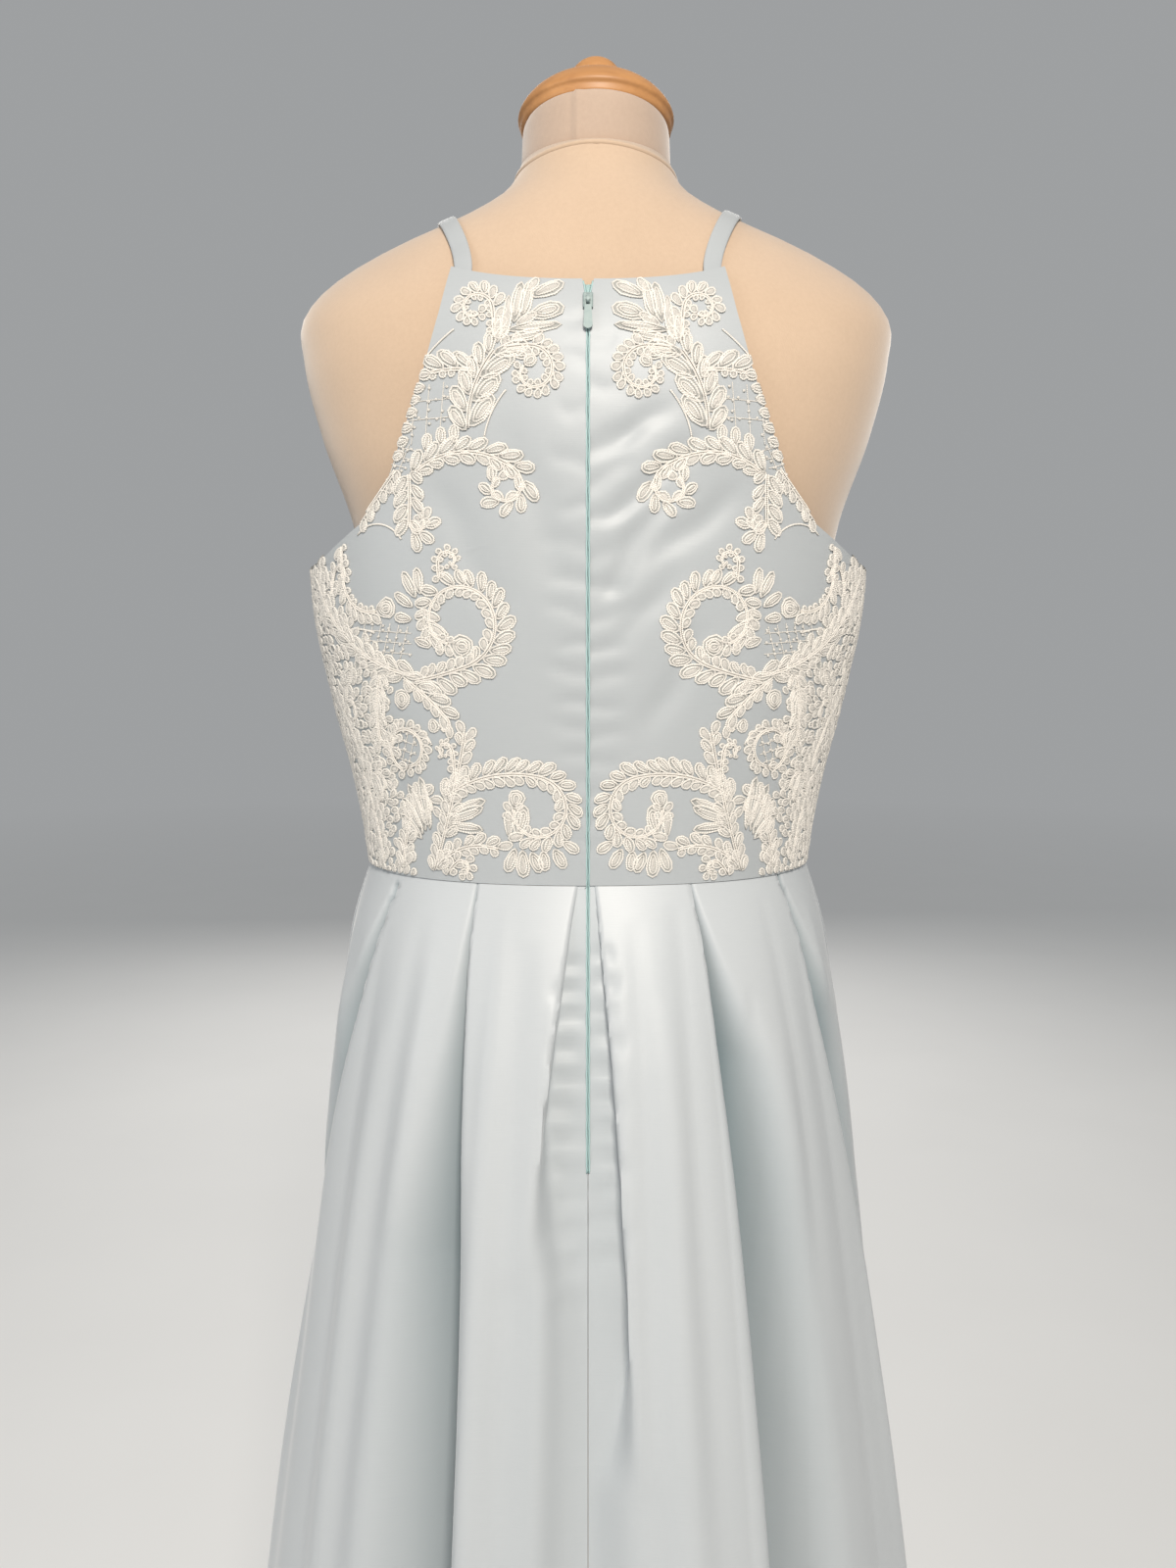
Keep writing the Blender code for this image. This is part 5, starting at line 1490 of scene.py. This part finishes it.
# Columns of a leaf or petal: across, height, heading, length, width, bend
LEAVES = (
    (47, 306, 101, 27, 6, -8), (50, 305, 88, 17, 6, 0), (41, 316, 98, 25, 8, 4), (37, 317, 105, 25, 8, -6),
    (33, 320, 162, 21, 11, 6), (32, 331, 152, 21, 9, 8), (34, 334, 128, 11, 6, 0), (45, 312, 171, 31, 7, 6),
    (46, 307, 172, 22, 7, -6), (40, 315, 150, 14, 6, 0), (44, 300, 186, 12, 7, 10), (87, 290, -8, 9, 7, 0),
    (91, 283, -8, 9, 6.5, 0), (94, 277, -10, 9, 6.5, 0), (96, 270, -10, 9, 6.5, 0),
    (99, 262, -12, 9, 6.5, 0), (102, 255, -16, 9, 6.5, 0), (105, 248, -20, 9, 6.5, 0),
    (75, 251, 90, 11, 7, 0), (83, 250, 92, 11, 7, 0), (92, 247, 100, 11, 7, 0), (97, 168, 78, 16, 7, 8),
    (100, 166, 58, 18, 7, 8), (102, 161, 34, 15, 7, 0), (103, 154, 8, 12, 7, 0), (98, 158, 198, 14, 6, 0),
    (97, 153, 206, 20, 9, 16), (92, 145, 228, 12, 7, 0), (102, 143, 200, 12, 7, 0), (42, 22, -70, 16, 8, 0),
    (38, 21, -92, 17, 9, 0), (33, 20, -114, 14, 8, 0), (26, 21, -96, 13, 8, 0), (20, 22, -120, 14, 8, 0),
    (15, 26, -148, 12, 7, 0), (41, 27, 106, 21, 10, -8), (46, 28, 90, 16, 6, 0), (84, 39, 150, 27, 7, 14),
    (86, 36, 164, 27, 8, -10), (84, 33, 178, 23, 7, 10), (96, 30, 84, 33, 7, -10), (99, 29, 72, 31, 7, -12),
    (101, 27, 60, 27, 7, -12), (102, 24, 44, 22, 7, -8), (112, 101, 90, 13, 12, 0), (92, 97, -100, 9, 8, 0),
    (128, 92, 80, 22, 11, 10), (134, 44, 70, 20, 10, -8), (150, 128, -48, 22, 11, 10),
    (176, 150, 70, 22, 11, -12), (186, 110, 110, 22, 11, 10), (148, 140, 20, 20, 10, 0),
)
# Columns of a plain cord: across, height, heading, run, turn
CORDS = (
    (73, 315, -36, 24, -12), (44, 281, -46, 31, -34), (108, 198, 62, 38, -104),
    (128, 146, 20, 26, -30), (80, 70, 80, 12, 10), (100, 118, -110, 24, -40), (106, 92, -170, 18, 60),
)
# Columns of a lattice: its first thread's across, height, heading and run, how many threads there are, and
# the steps from one to the next across and in height
LATTICES = (
    (72, 286, -84, 32, 4, 8.5, -1), (70, 276, -2, 34, 2, 0, -10),
    (102, 252, -62, 32, 5, 4.5, 1), (98, 248, 16, 30, 6, 3, -4.5),
    (106, 150, -72, 20, 6, 6, 1), (104, 146, 4, 40, 3, 0, -6),
    (103, 90, -72, 24, 5, 5, 1), (102, 86, 14, 22, 4, 1, -5.5),
)
# At each height, the distance across beyond which the side of the lace is filled with small petals
DENSE_EDGE = columns("height across", (
    (0, 106), (40, 114), (80, 126), (112, 118), (128, 112), (150, 146), (170, 166), (186, 172), (200, 178),
))
# The lattice of places for the small petals: first, last and step
FILL_ACROSS = (104, 245, 6.0)
FILL_HEIGHT = (3, 200, 5.2)
FILL_STAGGER = 3.0
FILL_JITTER = 1.3
FILL_CLEAR = 3.3


def towards(heading):
    """The direction, (across, height), of each heading."""
    return np.stack([np.cos(heading), np.sin(heading)], axis=-1)


def stem_line(row, step=1.0):
    """A stem's points, a step apart; the heading, the petals' share of their size and the length at each.

    The heading turns evenly along the run. In the curl the radius shrinks evenly to the share "tight" of it.
    """
    stem = dict(zip(STEM_COLUMNS, row))
    count = max(2, round(stem["run"] / step))
    steps = np.full(count, stem["run"] / count)
    angle = stem["heading"] + stem["turn"] * (np.arange(count) + 0.5) / count
    shrink = np.ones(count)
    if stem["curl"]:
        spin = math.radians(abs(stem["spin"]))
        more = max(4, round(stem["curl"] * 0.7 * spin / step))
        part = (np.arange(more) + 0.5) / more
        loosen = 1 - stem["tight"]
        steps = np.append(steps, stem["curl"] * (1 - loosen * part) * spin / more)
        angle = np.append(angle, stem["heading"] + stem["turn"] + stem["spin"] * part)
        shrink = np.append(shrink, 1 - 0.75 * loosen * part)
    angle = np.radians(angle)
    line = np.cumsum(steps[:, None] * towards(angle), axis=0)
    return line + [stem["across"], stem["height"]], angle, shrink, np.cumsum(steps)


# A petal wider than this is hollow, and holds a second, slimmer one
WIDE_PETAL = 6.3


def stem_petals(row, chance):
    """The petals along one stem: on each side a row that leans the way the stem grows.

    Each takes the room that its own width needs. Where the stem bends, the tips on the outer side stand
    further apart than the feet, so the feet move closer together, and the other way round on the inner
    side.
    """
    stem = dict(zip(STEM_COLUMNS, row))
    line, angle, shrink, run = stem_line(row)
    bend = np.gradient(angle, run)
    lean = math.radians(stem["lean"])
    rows = []
    for side, size in ((1, stem["left"]), (-1, stem["right"])):
        at = 1.0 + 0.6 * (side + 1)
        while size and at < run[-1] - 0.5:
            k = min(int(np.searchsorted(run, at)), len(run) - 1)
            length = size * shrink[k] * chance.uniform(1.08, 1.35)
            width = (3.0 + 0.34 * length) * chance.uniform(0.94, 1.08)
            foot = line[k] + 0.5 * side * np.array([-math.sin(angle[k]), math.cos(angle[k])])
            heading = angle[k] + side * lean * chance.uniform(0.9, 1.1)
            rows.append((*foot, heading, length, width, -side * 0.35))
            spread = np.clip(1 - side * bend[k] * 0.6 * length * math.sin(lean), 0.7, 2.2)
            at += max(0.86 * width / spread / (0.3 + 0.7 * math.sin(lean)), 1.8)
    if stem["curl"]:
        rows.append((*line[-1], angle[-1], stem["curl"] * 0.6, stem["curl"] * 0.55, 0.0))
    return rows


def petal_middles(petals):
    """The middles of petals, given as rows of the petal columns with angles in radians."""
    return petals[:, :2] + towards(petals[:, 2]) * petals[:, 3:4] / 2


def thinned(petals):
    """Leave out each petal whose middle lies within half a width of an earlier one's."""
    middles = petal_middles(petals)
    kept = [0]
    for k in range(1, len(petals)):
        gap = np.hypot(*(middles[kept] - middles[k]).T)
        if (gap > 0.25 * (petals[kept, 4] + petals[k, 4])).all():
            kept.append(k)
    return petals[kept]


def fill_petals(taken, chance):
    """Small petals where the dense side is still bare: a jittered lattice of places, kept clear of others."""
    across, height = np.meshgrid(np.arange(*FILL_ACROSS), np.arange(*FILL_HEIGHT))
    across = across + FILL_STAGGER * (np.arange(across.shape[0])[:, None] % 2)
    spots = np.stack([across, height], axis=-1).reshape(-1, 2)
    spots = spots + chance.uniform(-FILL_JITTER, FILL_JITTER, spots.shape)
    spots = spots[spots[:, 0] > np.interp(spots[:, 1], DENSE_EDGE["height"], DENSE_EDGE["across"])]
    near = np.sqrt(((spots[:, None] - taken[None, :, :2]) ** 2).sum(axis=-1)).min(axis=1)
    spots = spots[near > FILL_CLEAR]
    flow = 1.9 + 0.9 * np.sin(spots[:, 0] / 17) + 0.8 * np.sin(spots[:, 1] / 23 + spots[:, 0] / 31)
    heading = flow + chance.uniform(-0.7, 0.7, len(spots))
    length = chance.uniform(6.0, 8.8, len(spots))
    back = towards(heading) * length[:, None] / 2
    bend = chance.uniform(-0.5, 0.5, len(spots))
    return np.column_stack([spots - back, heading, length, length * 0.74, bend])


def lace_layout(chance):
    """Every petal of one half, as rows of the petal columns. A wide one holds a slimmer one, and so on."""
    rows = [petal for stem in STEMS for petal in stem_petals(stem, chance)]
    rows += [(a, h, math.radians(turn), *size, math.radians(bend)) for a, h, turn, *size, bend in LEAVES]
    petals = thinned(np.array(rows[::-1]))
    layers = [petals, fill_petals(petal_middles(petals), chance)]
    wide = petals[petals[:, 4] > WIDE_PETAL]
    while len(wide):
        foot = wide[:, :2] + towards(wide[:, 2]) * wide[:, 3:4] * 0.14
        slim = np.column_stack([foot, wide[:, 2], wide[:, 3] * 0.74, wide[:, 4] - 3.2, wide[:, 5] * 0.74])
        layers.append(slim)
        wide = slim[slim[:, 4] > WIDE_PETAL]
    return np.concatenate(layers)


# %% Lace petals and cords as meshes
PETAL_AROUND = 10
PETAL_CENTRE = 0.54
SMALLEST_RING = 0.22
# Each ring of a petal: how far in from the outline, how high, and how much painted shade it has: a painted
# shadow at the foot, and in the hollow painted shade together with the net's own grey-blue
PETAL_RINGS = columns("inset rise shade", (
    (0.00, 0.00, 0.90), (0.22, 0.90, 0.05), (0.95, 1.15, 0.00), (1.40, 0.25, 0.75), (2.00, 0.95, 0.05),
))
RING_COUNT = len(PETAL_RINGS["inset"])
PETAL_MIDDLE = (0.95, 0.05)
# The middle of a wide petal: its rise, and its painted shade mixed with the net's own grey-blue
HOLLOW = (0.35, 0.60)
CORD_RADIUS = 0.58
STEM_CORD_PLACE = 0.65
STEM_CORD_RISE = 0.75
PLAIN_CORD_RISE = 0.45
THREAD_RADIUS = 0.32
THREAD_RISE = 0.25
THREAD_SHADE = 0.1
THREAD_STEP = 1.5
KNOT_SIZE = (2.0, 1.7)


def petal_points(petals, chance):
    """Points of all petals at once, on the flat cloth, with their rise, their shade and their UVs.

    The outline is a blunt teardrop: along = (1 - cos t) / 2, aside = sin t * sin(t / 2)^0.3, t once round.
    A ring shrinks it towards the petal's middle by its inset. Then the axis is bent to an arc and turned: a
    point at u along the arc's chord and v beside it. The UV map holds the way round in metres and the
    ring's number / 4, which the cord's slanted stripe follows.
    """
    across, height, heading, length, width, bend = petals.T[:, :, None]
    step = np.arange(PETAL_AROUND)
    uneven = 1 + 0.08 * np.sin(step * 2.1 + 3 * across) + 0.05 * np.sin(step + 7 * height)
    t = np.linspace(0, 2 * math.pi, PETAL_AROUND, endpoint=False)
    along = (1 - np.cos(t)) / 2
    aside = np.sin(t) * np.abs(np.sin(t / 2)) ** 0.3 / 0.91 / 2
    flat, off = [], []
    for k, inset in enumerate(PETAL_RINGS["inset"]):
        least = SMALLEST_RING - 0.03 * k
        flat.append(PETAL_CENTRE + (along - PETAL_CENTRE) * np.maximum(1 - inset / (length / 2), least))
        off.append(aside * np.maximum(1 - inset / (width / 2), least) * uneven)
    flat = np.concatenate([*flat, np.full_like(length, PETAL_CENTRE)], axis=1)
    off = np.concatenate([*off, 0 * length], axis=1) * width
    bend = np.where(np.abs(bend) < 1e-3, 1e-3, bend)
    u = length * np.sin(bend * flat) / bend - off * np.sin(bend * flat)
    v = length * (1 - np.cos(bend * flat)) / bend + off * np.cos(bend * flat)
    a = across + u * np.cos(heading) - v * np.sin(heading)
    h = height + u * np.sin(heading) + v * np.cos(heading)
    rise = np.append(np.repeat(PETAL_RINGS["rise"], PETAL_AROUND), PETAL_MIDDLE[0])
    rise = rise * chance.uniform(0.85, 1.2, (len(petals), 1))
    # Painted shade for each ring, from the table; the hollow middle of a wide petal takes more
    shade = np.append(np.repeat(PETAL_RINGS["shade"], PETAL_AROUND), PETAL_MIDDLE[1]) + 0 * rise
    wide = width[:, 0] > WIDE_PETAL
    rise[wide, -PETAL_AROUND - 1 :], shade[wide, -PETAL_AROUND - 1 :] = HOLLOW
    twist = np.append(np.tile(t / (2 * math.pi), RING_COUNT), 0) * (length + width) * 1.4
    level = np.append(np.repeat(np.arange(RING_COUNT) / 4, PETAL_AROUND), 1.5) + 0 * twist
    return a, h, rise, shade, np.stack([twist * MM, level], axis=-1)


def petal_faces(count):
    """The faces of that many petals: quads between rings, and a fan in the middle."""
    one = grid_faces(RING_COUNT, PETAL_AROUND, close_cols=True)
    middle = RING_COUNT * PETAL_AROUND
    last = middle - PETAL_AROUND + np.arange(PETAL_AROUND)
    fan = np.stack([last, np.roll(last, -1), np.full(PETAL_AROUND, middle)], axis=-1)
    first = (np.arange(count) * (middle + 1))[:, None, None]
    return (one[None] + first).reshape(-1, 4), (fan[None] + first).reshape(-1, 3)


class Lace:
    """The lace of one half of a panel, gathered into one pile."""

    def __init__(self, chart, side, crease_rows):
        self.chart, self.side, self.crease_rows = chart, side, crease_rows
        self.least = 0.0 if chart.front else 0.0022
        self.pile = Pile()

    def keep(self, across, height):
        """Which places lie on the panel, or at most 1 mm past its top, its armhole or its side."""
        beyond = (height <= 0.5) | (across <= self.least / MM)
        beyond |= across >= self.chart.edge(height * MM) / MM + 1.0
        return ~(beyond | (height >= self.chart.top(across * MM) / MM + 1.0))

    def point(self, across, height, rise):
        """Points on the cloth for places in millimetres, held to the panel's edges."""
        h = np.clip(height * MM, 0.0010, self.chart.top(across * MM) + 0.0006)
        a = np.clip(across * MM, self.least, self.chart.edge(h) + 0.0006)
        return self.chart.point(a, h, rise * MM + creases(a, h, self.crease_rows), self.side)

    def add_petals(self, petals, chance):
        petals = petals[self.keep(*petal_middles(petals).T)]
        a, h, rise, shade, places = petal_points(petals, chance)
        quads, fans = petal_faces(len(petals))
        if (self.side < 0) != self.chart.front:
            quads, fans = quads[:, ::-1], fans[:, ::-1]
        self.pile.add(self.point(a, h, rise), [quads, fans], places, shade)

    def add_cord(self, line, radius, rise, shade=0.0):
        """A cord along places on the cloth: a tube that lies on it, cut off where it leaves the panel."""
        inside = self.keep(*line.T)
        stops = np.flatnonzero(np.diff(np.concatenate([[0], inside.astype(int), [0]])))
        for first, last in zip(stops[::2], stops[1::2]):
            if last - first > 2:
                low, high = (self.point(*line[first:last].T, level) for level in (rise, rise + 1.0))
                points, faces, places = tube(low, radius * MM, 4, high - low)
                self.pile.add(points, faces, places, np.full(points.shape[:2], shade))


def offset_line(line, angle, aside):
    """The line moved aside, to the left of its heading, by a distance for each point."""
    return line + (aside * np.stack([-np.sin(angle), np.cos(angle)])).T


def lattice_lines():
    """The threads of every lattice, each a straight row of places a step apart."""
    for across, height, heading, run, count, step_across, step_height in LATTICES:
        for k in range(count):
            start = np.array([across + k * step_across, height + k * step_height])
            yield start + towards(math.radians(heading)) * np.arange(0, run, THREAD_STEP)[:, None]


def make_lace(name, chart, side, crease_rows, petals, chance):
    """One half's lace: the stems' double cords, plain cords, lattices with their knots, and all petals."""
    lace = Lace(chart, side, crease_rows)
    for row in STEMS:
        line, angle, shrink, _ = stem_line(row, 2.3)
        for aside in (-STEM_CORD_PLACE, STEM_CORD_PLACE):
            lace.add_cord(offset_line(line, angle, aside * shrink), CORD_RADIUS, STEM_CORD_RISE)
    for row in CORDS:
        lace.add_cord(stem_line((*row, *NO_CURL), 2.0)[0], CORD_RADIUS, PLAIN_CORD_RISE)
    knots = []
    for line in lattice_lines():
        lace.add_cord(line, THREAD_RADIUS, THREAD_RISE, THREAD_SHADE)
        knots += [(*spot, chance.uniform(0, 6.28), *KNOT_SIZE, 0.0) for spot in line[2::4] - [1.0, 0.0]]
    lace.add_petals(np.concatenate([petals, np.array(knots)]), chance)
    add_piece(f"lace_{name}", lace.pile, LACE)


# %% Make the lace
chance = np.random.default_rng(7)
back_petals = lace_layout(chance)
front_petals = lace_layout(chance)
make_lace("back_left", BACK_CHART, -1, RIGHT_PUCKERS, back_petals, chance)
make_lace("back_right", BACK_CHART, 1, LEFT_PUCKERS, back_petals, chance)
make_lace("front_left", FRONT_CHART, -1, FRONT_CREASES, front_petals, chance)
make_lace("front_right", FRONT_CHART, 1, FRONT_CREASES, front_petals, chance)

# %% Print the count of triangles
print("all new pieces:", sum(TRIANGLES), "triangles")
